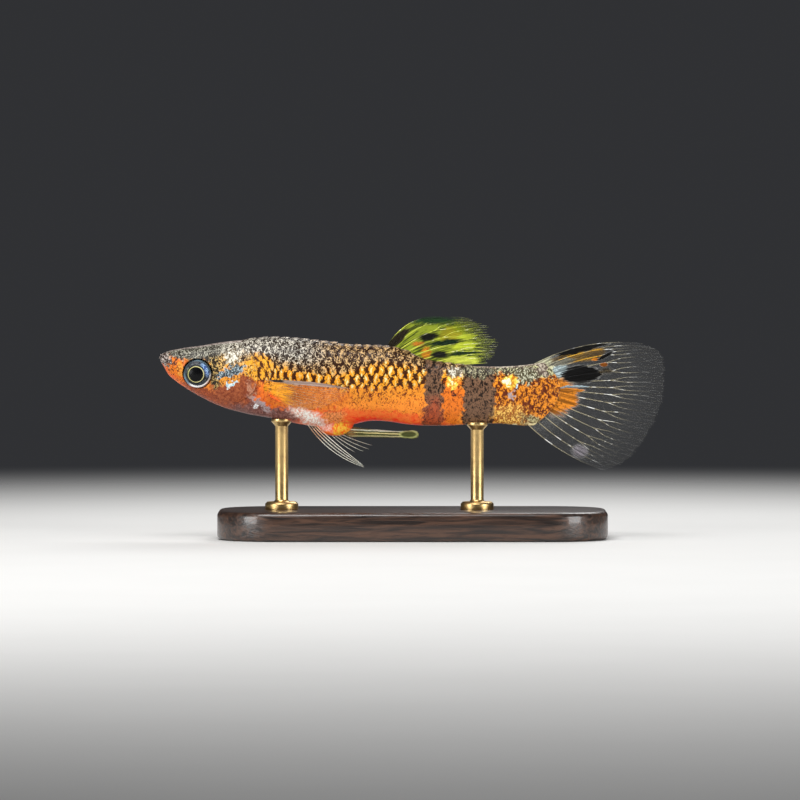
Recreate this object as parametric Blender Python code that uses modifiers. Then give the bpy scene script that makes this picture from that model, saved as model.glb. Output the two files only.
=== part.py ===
"""Male guppy as a still, life-size display model, held over a flat base by two rods.

Metres, +Z up. The head points to -X and the left flank faces -Y. The origin is the middle
of the base's underside. Fish sizes are in millimetres, measured back from the tip of the
snout and up from its level, as in a side view.
"""

import math

import bmesh
import bpy
import numpy as np
from mathutils import Euler, Matrix, Vector

MM = 0.001
GAP = 0.3  # what neighbouring pieces keep between them
WELD = 0.002  # points closer than this are one
CREASE = math.radians(40)

# Where the fish hangs over the base
LENGTH = 35.04  # from the snout to the end of the tail fin
SNOUT_X = -LENGTH / 2
SNOUT_Z = 12.6

# Body sections: distance from the snout, then back, belly and half width there
SECTIONS = (
    (0.00, 0.00, 0.00, 0.00),
    (0.25, 0.22, -0.62, 0.52),
    (0.56, 0.36, -1.17, 0.78),
    (1.11, 0.49, -1.68, 1.00),
    (1.71, 0.60, -2.11, 1.16),
    (2.92, 0.76, -2.83, 1.36),
    (4.12, 0.97, -3.40, 1.52),
    (5.93, 1.16, -3.94, 1.70),
    (7.74, 1.30, -4.27, 1.78),
    (9.55, 1.22, -4.64, 1.80),
    (11.3, 1.03, -4.88, 1.74),
    (13.1, 0.87, -4.75, 1.62),
    (14.6, 0.76, -4.45, 1.49),
    (15.9, 0.69, -4.50, 1.37),
    (17.2, 0.34, -4.70, 1.24),
    (18.5, -0.22, -4.79, 1.10),
    (19.9, -0.46, -4.78, 0.98),
    (21.6, -0.65, -4.69, 0.84),
    (23.6, -0.69, -4.65, 0.66),
    (25.4, -0.57, -4.78, 0.48),
    (26.6, -0.42, -4.72, 0.36),
    (27.8, -0.55, -4.40, 0.27),
)
SPINE_LEVEL = 0.12  # how far above mid height a section is widest, as a share of its depth
HEAD_CROWN = 0.78  # roundness of a section's upper half: 1 is an ellipse, less is flatter
TRUNK_CROWN = 0.93
HEAD_KEEL = 1.04  # roundness of the lower half
TRUNK_KEEL = 0.95
CROWN_FADES = (3.0, 9.0)

# Gill cover: its hind edge, which is also where the head ends
OPERCLE_RING = 5.9
OPERCLE_TIP = 6.8
OPERCLE_LEVEL = -0.15
OPERCLE_SWEEP = (1.0, 3.9)  # how far the edge draws forward, over and under its tip
OPERCLE_REACH = 3.2  # how far the sweep fades out along the body
OPERCLE_RAISE = 0.10
PREOPERCLE_X = 4.6  # front edge of the raised cover
PREOPERCLE_BEND = 0.9
PREOPERCLE_FADE = 0.25
SHOULDER_SINK = 0.06  # how far the trunk draws in behind the gill covers
SHOULDER_FADES = (7.0, 9.0)

# Trunk and tail
PEDUNCLE_RING = 21.2
TAIL_RING = 27.75
TAIL_SWEEP = (1.1, 1.85)  # how far the root of the tail fin draws forward, over and under
TAIL_REACH = 3.6
VENT_LOBE = (12.15, -4.72, 1.25, 0.62, 0.78)  # middle x and z, then half length, width, depth

HEAD_RINGS = 16
HEAD_CROWDING = 1.6  # how much closer the head's rings stand at the snout
SNOUT_RING = 0.03
SNOUT_TIP = -0.02
TORSO_RINGS = 21
TAIL_RINGS = 10
RING_SIDES = 28

# Eyes
EYE_X = 2.65
EYE_Z = -1.14
EYE_RADIUS = 1.0
EYE_DEPTH = 0.78
EYE_PROUD = 0.30
EYE_GAP = 0.22
EYE_SIDES = 22
SOCKET_SIDES = 24

# Mouth and nostrils
MOUTH_FRONT = (0.0, 0.07)
MOUTH_CORNER = (0.60, -0.36)
MOUTH_SLIT = 0.12
MOUTH_WIDTH = 3.0
LIP_RADIUS = 0.12
LIP_STEPS = 6
LIP_TAPER = 0.6  # how much thinner a lip is at the corners of the mouth
LIP_BEND = 1.6  # how bluntly the lips turn round the snout
LIP_SEAT = 0.6  # how deep a lip lies in the skin, as a share of its radius
LIP_BACK = 0.07
NOSTRILS = ((1.05, 0.26, 0.10), (1.62, 0.30, 0.12))  # x, z, radius
NOSTRIL_SIDES = 8
LOBE_SIDES = 18

# Fins: web and ray thickness, and how far a ray stands before it forks
WEB = 0.50
RAY = 0.80
TIP_THINS = 0.45
TIP_STARTS = 0.80
FORK = 0.55
FORK_FADE = 0.10
# Columns of points across one ray, in spaces between rays, and how far each stands up as a
# ridge before the ray forks and after
RAY_COLUMNS = (
    (-0.42, 0.0, 0.0),
    (-0.21, 0.45, 1.0),
    (0.0, 1.0, 0.15),
    (0.21, 0.45, 1.0),
    (0.42, 0.0, 0.0),
)

# Key rays from the top down: height on the stalk's end from 1 to -1, tip x and z, bow
CAUDAL_KEYS = (
    (0.98, 33.5, 0.88, 0.085),
    (0.70, 34.8, 0.15, 0.045),
    (0.25, 35.0, -1.60, 0.01),
    (-0.10, 34.7, -3.40, 0.00),
    (-0.45, 33.8, -5.40, -0.02),
    (-0.75, 32.4, -7.10, -0.04),
    (-0.98, 30.9, -7.90, -0.06),
)
CAUDAL_RAYS = 15
CAUDAL_ROWS = 12
CAUDAL_WAVE = 0.35
CAUDAL_WAVES = 0.9
CAUDAL_PHASE = 0.1

# Key rays from the front: root x on the back, tip x and z, bow
DORSAL_KEYS = (
    (15.95, 19.2, 2.80, 0.13),
    (16.55, 21.3, 2.66, 0.10),
    (17.15, 22.3, 2.17, 0.07),
    (17.80, 22.9, 1.45, 0.05),
    (18.50, 23.2, 0.65, 0.05),
    (19.35, 23.0, 0.10, 0.04),
    (20.30, 22.6, -0.22, 0.03),
)
DORSAL_RAYS = 8
DORSAL_ROWS = 8
DORSAL_WAVE = 0.22
DORSAL_WAVES = 0.8

# Key rays of the paired fins: root x and z, tip x and z, bow
PECTORAL_KEYS = (
    (7.75, -1.60, 13.3, -2.15, 0.03),
    (7.60, -1.95, 12.4, -2.95, 0.02),
    (7.55, -2.30, 11.2, -3.45, 0.00),
    (7.60, -2.65, 10.0, -3.60, -0.04),
)
PECTORAL_RAYS = 9
PECTORAL_ROWS = 8
PECTORAL_SPREAD = (1.15, 0.55)  # how far the first and last ray's tips stand out from the root

PELVIC_KEYS = (
    (10.05, -5.05, 14.15, -7.62, -0.05),
    (10.40, -5.08, 13.95, -7.12, -0.04),
    (10.75, -5.12, 13.35, -6.72, -0.03),
)
PELVIC_FAR_KEYS = (
    (10.05, -5.05, 14.75, -6.90, -0.05),
    (10.40, -5.08, 14.60, -6.42, -0.04),
    (10.75, -5.12, 13.95, -6.20, -0.03),
)
PELVIC_RAYS = 3
PELVIC_ROWS = 9
PELVIC_COLUMNS = 9
PELVIC_RAY = 0.66
PELVIC_EDGE = 0.40  # how thick the fin is at its edges, against its middle
PELVIC_ROOT_Y = 0.58
PELVIC_SPREAD = 0.80

# Gonopodium: how far along it, then height and half thickness there
GONOPODIUM_ROOT = (13.72, -5.38)
GONOPODIUM_TIP = (17.95, -5.42)
GONOPODIUM_SAG = 0.05
GONOPODIUM_SHAPE = (
    (0.00, 0.72, 0.27),
    (0.20, 0.60, 0.26),
    (0.50, 0.50, 0.25),
    (0.74, 0.46, 0.24),
    (0.86, 0.60, 0.25),
    (0.94, 0.62, 0.25),
    (0.985, 0.40, 0.18),
    (1.00, 0.16, 0.08),
)
GONOPODIUM_RINGS = 18
GONOPODIUM_SIDES = 18
GONOPODIUM_RIDGES = 6
GONOPODIUM_RIDGE = 0.09  # how high they stand, as a share of the radius

# Stand
BASE_LENGTH = 27.0
BASE_WIDTH = 12.0
BASE_HEIGHT = 2.0
BASE_CORNER = 4.2
BASE_EDGE = 0.35
ROD_STATIONS = {"front": 8.45, "rear": 22.0}
ROD_RADIUS = 0.45
COLLAR_RADIUS = 1.15
COLLAR_HEIGHT = 0.55
CUP_RADIUS = 0.72
CUP_HEIGHT = 0.50
RIM = 0.15  # height of the cup's rim, and the collar's slope
ROD_SIDES = 24

COLOURS = {
    "flesh": ((0.62, 0.26, 0.07, 1.0), 0.42, 0.0),
    "back": ((0.24, 0.20, 0.15, 1.0), 0.45, 0.0),
    "eye": ((0.03, 0.03, 0.05, 1.0), 0.12, 0.0),
    "fin": ((0.55, 0.55, 0.42, 1.0), 0.35, 0.0),
    "dorsal": ((0.52, 0.55, 0.10, 1.0), 0.35, 0.0),
    "wood": ((0.035, 0.025, 0.020, 1.0), 0.40, 0.0),
    "brass": ((0.66, 0.48, 0.22, 1.0), 0.28, 1.0),
}


def smooth(low, high, value):
    """Rises evenly from 0 at low to 1 at high."""
    share = np.clip((value - low) / (high - low), 0.0, 1.0)
    return share * share * (3 - 2 * share)


def through(table, column, x):
    """A smooth curve through one column of a table, read at x in its first column."""
    xs = np.array([row[0] for row in table], float)
    ys = np.array([row[column] for row in table], float)
    slopes = np.gradient(ys, xs)
    i = int(np.clip(np.searchsorted(xs, x) - 1, 0, len(xs) - 2))
    step = xs[i + 1] - xs[i]
    t = float(np.clip((x - xs[i]) / step, 0.0, 1.0))
    rise = ys[i] * (1 + 2 * t) * (1 - t) ** 2 + ys[i + 1] * t * t * (3 - 2 * t)
    return rise + step * t * (1 - t) * (slopes[i] * (1 - t) - slopes[i + 1] * t)


def section(x):
    """Back, belly and half width at x. The snout's own end is rounded off."""
    nose = SECTIONS[1]
    if x < nose[0]:
        share = math.sqrt(max(x, 0.0) / nose[0])
        return nose[1] * share, nose[2] * share, nose[3] * share
    return tuple(through(SECTIONS[1:], column, x) for column in (1, 2, 3))


def heart(x):
    """Level at which the section at x is widest, and its reach up and down from there."""
    top, bottom, _ = section(x)
    level = (top + bottom) / 2 + SPINE_LEVEL * (top - bottom) / 2
    return level, top - level, level - bottom


def roundness(x, above):
    """Power that shapes the upper or the lower half of the section at x."""
    fade = smooth(*CROWN_FADES, x)
    head, trunk = (HEAD_CROWN, TRUNK_CROWN) if above else (HEAD_KEEL, TRUNK_KEEL)
    return float(head + (trunk - head) * fade)


def sweep(height, tip_level, powers):
    """How far a swept edge draws forward at a height from -1, the belly, to 1, the back."""
    away = height - tip_level
    return powers[0 if away > 0 else 1] * away * away


def swept(ring, height):
    """Where a ring's point at this height really stands along the body."""
    near_gill = smooth(0.0, 1.0, 1 - abs(ring - OPERCLE_RING) / OPERCLE_REACH)
    gill = OPERCLE_TIP - OPERCLE_RING - sweep(height, OPERCLE_LEVEL, OPERCLE_SWEEP)
    near_tail = smooth(TAIL_RING - TAIL_REACH, TAIL_RING, ring)
    return float(ring + near_gill * gill - near_tail * sweep(height, 0.0, TAIL_SWEEP))


def cover(x, height):
    """How far the gill cover stands proud of the cheek at x and a height."""
    front = PREOPERCLE_X - PREOPERCLE_BEND * height * height
    return OPERCLE_RAISE * float(smooth(front - PREOPERCLE_FADE, front + PREOPERCLE_FADE, x))


def surface(ring, angle, proud):
    """A point of the body's surface. proud(x, height) widens it there."""
    side, height = math.cos(angle), math.sin(angle)
    x = swept(ring, height)
    level, up, down = heart(x)
    power = roundness(x, height > 0)
    half = section(x)[2] + proud(x, height) * (1 - height * height)
    y = math.copysign(abs(side) ** power, side) * half
    z = level + math.copysign(abs(height) ** power, height) * (up if height > 0 else down)
    return Vector((x, y, z))


def flank(x, z):
    """Half width of the body at x and a level z."""
    level, up, down = heart(x)
    share = min(abs(z - level) / (up if z > level else down), 1.0)
    power = roundness(x, z > level)
    height = share ** (1 / power)
    return section(x)[2] * math.sqrt(1 - height * height) ** power


def place(point):
    """A point of the fish's side view, in millimetres, as a place over the stand."""
    return Vector((SNOUT_X + point[0], point[1], SNOUT_Z + point[2])) * MM


def material(key):
    """The material with this key, made on first use."""
    found = bpy.data.materials.get(key)
    if found:
        return found
    colour, roughness, metallic = COLOURS[key]
    made = bpy.data.materials.new(key)
    made.use_nodes = True
    shader = made.node_tree.nodes["Principled BSDF"]
    shader.inputs["Base Color"].default_value = colour
    shader.inputs["Roughness"].default_value = roughness
    shader.inputs["Metallic"].default_value = metallic
    made.diffuse_color = colour
    return made


def link(mesh, name, paint, home):
    """An object of this mesh in the collection home."""
    obj = bpy.data.objects.new(name, mesh)
    home.objects.link(obj)
    mesh.materials.clear()
    mesh.materials.append(material(paint))
    return obj


def from_bmesh(shape, name, paint, home):
    """An object of a finished bmesh, with its faces turned out and shaded smooth."""
    bmesh.ops.recalc_face_normals(shape, faces=shape.faces)
    mesh = bpy.data.meshes.new(name)
    shape.to_mesh(mesh)
    shape.free()
    mesh.shade_smooth()
    mesh.set_sharp_from_angle(angle=CREASE)
    return link(mesh, name, paint, home)


def loft(rings, name, paint, home, tips=(None, None)):
    """A closed solid through rings of points, each end closed by a fan to its tip."""
    shape = bmesh.new()
    rows = [[shape.verts.new(place(point)) for point in ring] for ring in rings]
    sides = len(rows[0])
    for near, far in zip(rows, rows[1:]):
        for i in range(sides):
            j = (i + 1) % sides
            shape.faces.new((near[i], near[j], far[j], far[i]))
    for ring, row, tip in ((rings[0], rows[0], tips[0]), (rings[-1], rows[-1], tips[1])):
        middle = tip if tip is not None else sum(ring, Vector()) / sides
        centre = shape.verts.new(place(middle))
        for i in range(sides):
            shape.faces.new((row[i], row[(i + 1) % sides], centre))
    return from_bmesh(shape, name, paint, home)


def turned(profile, name, paint, home, place_at):
    """A solid turned round a vertical axis from its profile, top to bottom."""
    mesh = bpy.data.meshes.new(name)
    points = [(radius * MM, 0.0, height * MM) for radius, height in profile]
    mesh.from_pydata(points, [(i, i + 1) for i in range(len(points) - 1)], [])
    obj = link(mesh, name, paint, home)
    obj.location = Vector(place_at) * MM
    screw = obj.modifiers.new("turn", "SCREW")
    screw.steps = screw.render_steps = ROD_SIDES
    screw.use_merge_vertices = True
    screw.merge_threshold = WELD * MM
    screw.use_smooth_shade = False
    return obj


def applied(obj):
    """Gives obj the mesh that its modifiers make, and drops them."""
    bpy.context.view_layer.update()
    graph = bpy.context.evaluated_depsgraph_get()
    mesh = bpy.data.meshes.new_from_object(obj.evaluated_get(graph))
    obj.modifiers.clear()
    obj.data = mesh
    return obj


def combine(obj, others, operation):
    """Joins other closed meshes to obj, or cuts them from it, and removes them."""
    tools = bpy.data.collections.new(obj.name + "_tools")
    bpy.context.scene.collection.children.link(tools)
    for other in others:
        for home in list(other.users_collection):
            home.objects.unlink(other)
        tools.objects.link(other)
    boolean = obj.modifiers.new(operation.lower(), "BOOLEAN")
    boolean.operation = operation
    boolean.operand_type = "COLLECTION"
    boolean.collection = tools
    boolean.solver = "EXACT"
    applied(obj)
    for other in others:
        bpy.data.objects.remove(other)
    bpy.data.collections.remove(tools)
    keep_largest(obj.data)
    return obj


def keep_largest(mesh):
    """Drops all but the largest closed surface of a mesh."""
    shape = bmesh.new()
    shape.from_mesh(mesh)
    bmesh.ops.remove_doubles(shape, verts=shape.verts, dist=WELD * MM)
    left = set(shape.verts)
    groups = []
    while left:
        group, edge = set(), [left.pop()]
        while edge:
            vert = edge.pop()
            group.add(vert)
            near = {e.other_vert(vert) for e in vert.link_edges} & left
            left -= near
            edge.extend(near)
        groups.append(group)
    groups.sort(key=len)
    for group in groups[:-1]:
        bmesh.ops.delete(shape, geom=list(group), context="VERTS")
    shape.to_mesh(mesh)
    shape.free()


def ball(centre, radii, sides, name, home, paint):
    """A closed ellipsoid round a point of the fish."""
    shape = bmesh.new()
    stretch = Matrix.Diagonal((*(r * MM for r in radii), 1.0))
    lie = Matrix.Translation(place(centre)) @ stretch
    bmesh.ops.create_uvsphere(
        shape, u_segments=sides, v_segments=sides // 2 + 2, radius=1.0, matrix=lie
    )
    return from_bmesh(shape, name, paint, home)


def tube(points, radii, name, home, paint):
    """A closed tube along points of the fish, as a mesh with its ends filled."""
    curve = bpy.data.curves.new(name, "CURVE")
    curve.dimensions = "3D"
    curve.bevel_depth = MM
    curve.bevel_resolution = 2
    curve.use_fill_caps = True
    spline = curve.splines.new("POLY")
    spline.points.add(len(points) - 1)
    for knot, point, radius in zip(spline.points, points, radii):
        knot.co = (*place(point), 1.0)
        knot.radius = radius
    rope = bpy.data.objects.new(name + "_curve", curve)
    home.objects.link(rope)
    bpy.context.view_layer.update()
    graph = bpy.context.evaluated_depsgraph_get()
    mesh = bpy.data.meshes.new_from_object(rope.evaluated_get(graph))
    bpy.data.objects.remove(rope)
    shape = bmesh.new()
    shape.from_mesh(mesh)
    bmesh.ops.remove_doubles(shape, verts=shape.verts, dist=WELD * MM)
    bpy.data.meshes.remove(mesh)
    return from_bmesh(shape, name, paint, home)


def body_rings(first, last, count, proud, power=1.0):
    """Rings of body points from one station to another, closer at the front by power."""
    stations = first + (last - first) * np.linspace(0.0, 1.0, count) ** power
    angles = [math.tau * i / RING_SIDES for i in range(RING_SIDES)]
    return [[surface(ring, angle, proud) for angle in angles] for ring in stations]


def lip(side, home):
    """One lip: a tube round the snout along the mouth's line, above or below it."""
    (x0, z0), (x1, z1) = MOUTH_FRONT, MOUTH_CORNER
    points, radii = [], []
    for i in range(-LIP_STEPS, LIP_STEPS + 1):
        share = abs(i) / LIP_STEPS
        radius = LIP_RADIUS * (1 - LIP_TAPER * share**2)
        x = x0 + (x1 - x0) * share**LIP_BEND
        z = z0 + (z1 - z0) * share**LIP_BEND
        half = flank(max(x, SNOUT_RING), z) - radius * LIP_SEAT
        points.append(Vector((x + LIP_BACK, math.copysign(half, i), z + side * radius)))
        radii.append(radius)
    points[LIP_STEPS].y = 0.0
    return tube(points, radii, "lip", home, "flesh")


def mouth_cutter(home):
    """A thin slab along the mouth's line, through the snout from side to side."""
    (x0, z0), (x1, z1) = MOUTH_FRONT, MOUTH_CORNER
    length = math.hypot(x1 - x0, z1 - z0) * 2
    tilt = math.atan2(z0 - z1, x1 - x0)
    shape = bmesh.new()
    size = Matrix.Diagonal((length * MM, MOUTH_WIDTH * MM, MOUTH_SLIT * MM, 1.0))
    turn = Euler((0.0, tilt, 0.0)).to_matrix().to_4x4()
    lie = Matrix.Translation(place(Vector((x0, 0.0, z0)))) @ turn @ size
    bmesh.ops.create_cube(shape, size=1.0, matrix=lie)
    return from_bmesh(shape, "slit", "flesh", home)


def eye_centre(side):
    """Middle of the left (-1) or right (1) eye."""
    return Vector((EYE_X, side * (flank(EYE_X, EYE_Z) + EYE_PROUD - EYE_DEPTH), EYE_Z))


def make_head(home):
    """Head from the snout to the hind edge of the gill covers."""
    rings = body_rings(SNOUT_RING, OPERCLE_RING, HEAD_RINGS, cover, power=HEAD_CROWDING)
    head = loft(rings, "head", "back", home, tips=(Vector((0.0, 0.0, SNOUT_TIP)), None))
    combine(head, [lip(1, home), lip(-1, home)], "UNION")
    socket = (EYE_RADIUS + EYE_GAP, EYE_DEPTH + EYE_GAP, EYE_RADIUS + EYE_GAP)
    cutters = [mouth_cutter(home)]
    for side in (-1, 1):
        cutters.append(ball(eye_centre(side), socket, SOCKET_SIDES, "socket", home, "flesh"))
        for x, z, radius in NOSTRILS:
            centre = Vector((x, side * flank(x, z), z))
            cutters.append(ball(centre, (radius,) * 3, NOSTRIL_SIDES, "nostril", home, "flesh"))
    return combine(head, cutters, "DIFFERENCE")


def make_torso(home):
    """Trunk from behind the gill covers to the root of the tail, with the vent's lobe."""
    shoulder = lambda x, height: -SHOULDER_SINK * (1 - float(smooth(*SHOULDER_FADES, x)))
    rings = body_rings(OPERCLE_RING + GAP, PEDUNCLE_RING, TORSO_RINGS, shoulder)
    torso = loft(rings, "torso", "flesh", home)
    x, z, length, width, depth = VENT_LOBE
    radii = (length, width, depth)
    lobe = ball(Vector((x, 0.0, z)), radii, LOBE_SIDES, "lobe", home, "flesh")
    return combine(torso, [lobe], "UNION")


def make_tail(home):
    """Stalk of the tail, back to the root of its fin."""
    rings = body_rings(PEDUNCLE_RING + GAP, TAIL_RING, TAIL_RINGS, lambda x, height: 0.0)
    return loft(rings, "tail", "back", home)


def make_eyes(home):
    """Both eyes, each set in its socket."""
    for side, name in ((-1, "eye_left"), (1, "eye_right")):
        radii = (EYE_RADIUS, EYE_DEPTH, EYE_RADIUS)
        ball(eye_centre(side), radii, EYE_SIDES, name, home, "eye")


def ray_columns(rays):
    """Columns across a fin: where each one is, and its ridge before and after the fork."""
    columns = [
        ((ray + offset) / (rays - 1), whole, forked)
        for ray in range(rays)
        for offset, whole, forked in RAY_COLUMNS
    ]
    return [column for column in columns if 0.0 <= column[0] <= 1.0]


def fin_point(keys, u, v):
    """A point of a fin's middle sheet, u from root to tip and v from its first ray to its last.

    keys hold root x, z and tip x, z of some rays and how they bow.
    """
    table = [(i / (len(keys) - 1), *key) for i, key in enumerate(keys)]
    root_x, root_z, tip_x, tip_z, bow = (through(table, c, v) for c in range(1, 6))
    line = Vector((tip_x - root_x, 0.0, tip_z - root_z))
    bulge = Vector((-line.z, 0.0, line.x)) * bow
    return Vector((root_x, 0.0, root_z)) + line * u + bulge * 4 * u * (1 - u)


def tip_share(u):
    """How much of its thickness a fin keeps at u, from root to tip."""
    return float(1 - (1 - TIP_THINS) * smooth(TIP_STARTS, 1.0, u))


def fin(name, keys, rays, rows, paint, home, sideways):
    """A fin: a web with its rays as forked ridges, thickened evenly to both sides.

    sideways(u, v) gives how far a point of the sheet stands out along Y.
    """
    shape = bmesh.new()
    grid = []
    weights = []
    for across, whole, forked in ray_columns(rays):
        column = []
        for row in range(rows + 1):
            u = row / rows
            point = fin_point(keys, u, across)
            point.y = sideways(u, across)
            column.append(shape.verts.new(place(point)))
            ridge = whole + (forked - whole) * smooth(FORK - FORK_FADE, FORK + FORK_FADE, u)
            weights.append((WEB + (RAY - WEB) * ridge) * tip_share(u) / RAY)
        grid.append(column)
    for near, far in zip(grid, grid[1:]):
        for i in range(rows):
            shape.faces.new((near[i], near[i + 1], far[i + 1], far[i]))
    bmesh.ops.triangulate(shape, faces=shape.faces, quad_method="FIXED")
    obj = from_bmesh(shape, name, paint, home)
    group = obj.vertex_groups.new(name="thickness")
    for index, weight in enumerate(weights):
        group.add([index], float(weight), "REPLACE")
    solidify = obj.modifiers.new("thicken", "SOLIDIFY")
    solidify.thickness = RAY * MM
    solidify.offset = 0.0
    solidify.vertex_group = "thickness"
    solidify.thickness_vertex_group = 0.0
    return obj


def tail_root(height):
    """Where the tail fin grows, at a height from -1 to 1 of the stalk's end."""
    x = swept(TAIL_RING, height)
    level, up, down = heart(x)
    return x + GAP, level + height * (up if height > 0 else down)


def make_caudal_fin(home):
    """Tail fin, fanned, with a slight wave from its upper to its lower edge."""
    keys = [(*tail_root(height), *rest) for height, *rest in CAUDAL_KEYS]
    wave = lambda u, v: CAUDAL_WAVE * u * math.sin(math.tau * (v * CAUDAL_WAVES + CAUDAL_PHASE))
    return fin("caudal_fin", keys, CAUDAL_RAYS, CAUDAL_ROWS, "fin", home, wave)


def make_dorsal_fin(home):
    """Back fin, swept back, rooted along the back."""
    keys = [(x, section(x)[0] + GAP, *rest) for x, *rest in DORSAL_KEYS]
    wave = lambda u, v: DORSAL_WAVE * u * math.sin(math.tau * v * DORSAL_WAVES)
    return fin("dorsal_fin", keys, DORSAL_RAYS, DORSAL_ROWS, "dorsal", home, wave)


def make_pectoral_fins(home):
    """Both breast fins, laid back and standing a little out from the flanks."""
    first, last = PECTORAL_SPREAD
    for side, name in ((-1, "pectoral_fin_left"), (1, "pectoral_fin_right")):

        def outwards(u, v, side=side):
            root_z = PECTORAL_KEYS[0][1] + (PECTORAL_KEYS[-1][1] - PECTORAL_KEYS[0][1]) * v
            root = flank(PECTORAL_KEYS[0][0], root_z) + GAP + RAY / 2
            return side * (root + (first + (last - first) * v) * u)

        fin(name, PECTORAL_KEYS, PECTORAL_RAYS, PECTORAL_ROWS, "fin", home, outwards)


def pelvic_ring(keys, side, u):
    """Outline of a belly fin's section at u: over its outer face and back over its inner."""
    outer, inner = [], []
    for v in np.linspace(0.0, 1.0, PELVIC_COLUMNS):
        point = fin_point(keys, u, v)
        ridge = 0.5 - 0.5 * math.cos(math.tau * PELVIC_RAYS * v)
        edge = PELVIC_EDGE + (1 - PELVIC_EDGE) * math.sqrt(1 - (2 * v - 1) ** 4)
        half = (WEB + (PELVIC_RAY - WEB) * ridge) / 2 * edge * tip_share(u)
        middle = PELVIC_ROOT_Y + PELVIC_SPREAD * u
        outer.append(Vector((point.x, side * (middle + half), point.z)))
        inner.append(Vector((point.x, side * (middle - half), point.z)))
    return outer + inner[::-1]


def make_pelvic_fins(home):
    """Both belly fins, each a narrow fan. The left hangs lower than the right."""
    for side, name, keys in (
        (-1, "pelvic_fin_left", PELVIC_KEYS),
        (1, "pelvic_fin_right", PELVIC_FAR_KEYS),
    ):
        rings = [pelvic_ring(keys, side, row / PELVIC_ROWS) for row in range(PELVIC_ROWS + 1)]
        loft(rings, name, "fin", home)


def make_gonopodium(home):
    """The male's rod-like anal fin, its rays as ridges, with the palp at its tip."""
    (x0, z0), (x1, z1) = GONOPODIUM_ROOT, GONOPODIUM_TIP
    rings = []
    for along in np.linspace(0.0, 1.0, GONOPODIUM_RINGS):
        tall = through(GONOPODIUM_SHAPE, 1, along) / 2
        wide = through(GONOPODIUM_SHAPE, 2, along)
        middle = Vector((x0 + (x1 - x0) * along, 0.0, z0 + (z1 - z0) * along))
        middle.z -= GONOPODIUM_SAG * math.sin(math.pi * along)
        ring = []
        for i in range(GONOPODIUM_SIDES):
            angle = math.tau * i / GONOPODIUM_SIDES
            ridged = 1 + GONOPODIUM_RIDGE * math.cos(GONOPODIUM_RIDGES * angle) * (1 - along)
            ring.append(middle + Vector((0.0, wide * math.cos(angle), tall * math.sin(angle))) * ridged)
        rings.append(ring)
    return loft(rings, "gonopodium", "fin", home)


def make_base(home):
    """Flat base with round corners and a softened edge."""
    shape = bmesh.new()
    size = Matrix.Diagonal((BASE_LENGTH * MM, BASE_WIDTH * MM, BASE_HEIGHT * MM, 1.0))
    lie = Matrix.Translation((0.0, 0.0, BASE_HEIGHT * MM / 2)) @ size
    bmesh.ops.create_cube(shape, size=1.0, matrix=lie)
    upright = [e for e in shape.edges if abs(e.verts[0].co.z - e.verts[1].co.z) > MM]
    bmesh.ops.bevel(
        shape, geom=upright, offset=BASE_CORNER * MM, segments=8, profile=0.5, affect="EDGES"
    )
    base = from_bmesh(shape, "stand_base", "wood", home)
    edge = base.modifiers.new("edge", "BEVEL")
    edge.width = BASE_EDGE * MM
    edge.segments = 2
    edge.limit_method = "ANGLE"
    edge.angle_limit = CREASE
    return base


def make_rods(home):
    """Two rods with a collar at the foot and a cup under the fish."""
    for key, station in ROD_STATIONS.items():
        top = SNOUT_Z + section(station)[1] - GAP
        foot = BASE_HEIGHT + GAP
        profile = [
            (0.0, top),
            (CUP_RADIUS, top),
            (CUP_RADIUS, top - RIM),
            (ROD_RADIUS, top - CUP_HEIGHT),
            (ROD_RADIUS, foot + COLLAR_HEIGHT),
            (COLLAR_RADIUS - RIM, foot + COLLAR_HEIGHT),
            (COLLAR_RADIUS, foot + COLLAR_HEIGHT - RIM),
            (COLLAR_RADIUS, foot),
            (0.0, foot),
        ]
        place_at = (SNOUT_X + station, 0.0, 0.0)
        turned(profile, "stand_rod_" + key, "brass", home, place_at)


def main():
    """Clears the scene and builds the guppy and its stand."""
    for obj in list(bpy.data.objects):
        bpy.data.objects.remove(obj)
    home = bpy.data.collections.new("guppy")
    bpy.context.scene.collection.children.link(home)
    make_head(home)
    make_torso(home)
    make_tail(home)
    make_eyes(home)
    make_dorsal_fin(home)
    make_caudal_fin(home)
    make_pectoral_fins(home)
    make_pelvic_fins(home)
    make_gonopodium(home)
    make_base(home)
    make_rods(home)


main()
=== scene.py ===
"""Looks of a male guppy as a life-size display model, dressed over its solid frame.

Fish sizes are in millimetres, measured back from the tip of the snout and up from its
level, as in a side view, with Y across. Meshes are in metres, where the frame has them.
"""

from __future__ import annotations

import logging
import math
from dataclasses import dataclass, replace
from enum import Enum
from typing import Any, Callable, Iterator, Sequence

import bpy
import numpy as np
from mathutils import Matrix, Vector

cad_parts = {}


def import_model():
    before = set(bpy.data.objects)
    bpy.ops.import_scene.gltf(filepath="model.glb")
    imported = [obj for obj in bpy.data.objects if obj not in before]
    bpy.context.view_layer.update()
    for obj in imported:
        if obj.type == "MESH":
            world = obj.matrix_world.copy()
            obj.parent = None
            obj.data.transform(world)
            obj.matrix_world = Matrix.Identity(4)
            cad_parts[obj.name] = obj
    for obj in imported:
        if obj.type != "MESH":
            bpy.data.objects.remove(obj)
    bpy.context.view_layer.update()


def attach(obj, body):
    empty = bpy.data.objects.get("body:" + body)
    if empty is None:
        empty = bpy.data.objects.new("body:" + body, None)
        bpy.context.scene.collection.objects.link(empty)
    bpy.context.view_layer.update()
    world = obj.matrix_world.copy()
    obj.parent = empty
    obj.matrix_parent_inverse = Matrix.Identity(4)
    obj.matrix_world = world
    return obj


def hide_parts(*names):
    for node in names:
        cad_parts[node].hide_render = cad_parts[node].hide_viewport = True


log = logging.getLogger("guppy")

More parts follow.
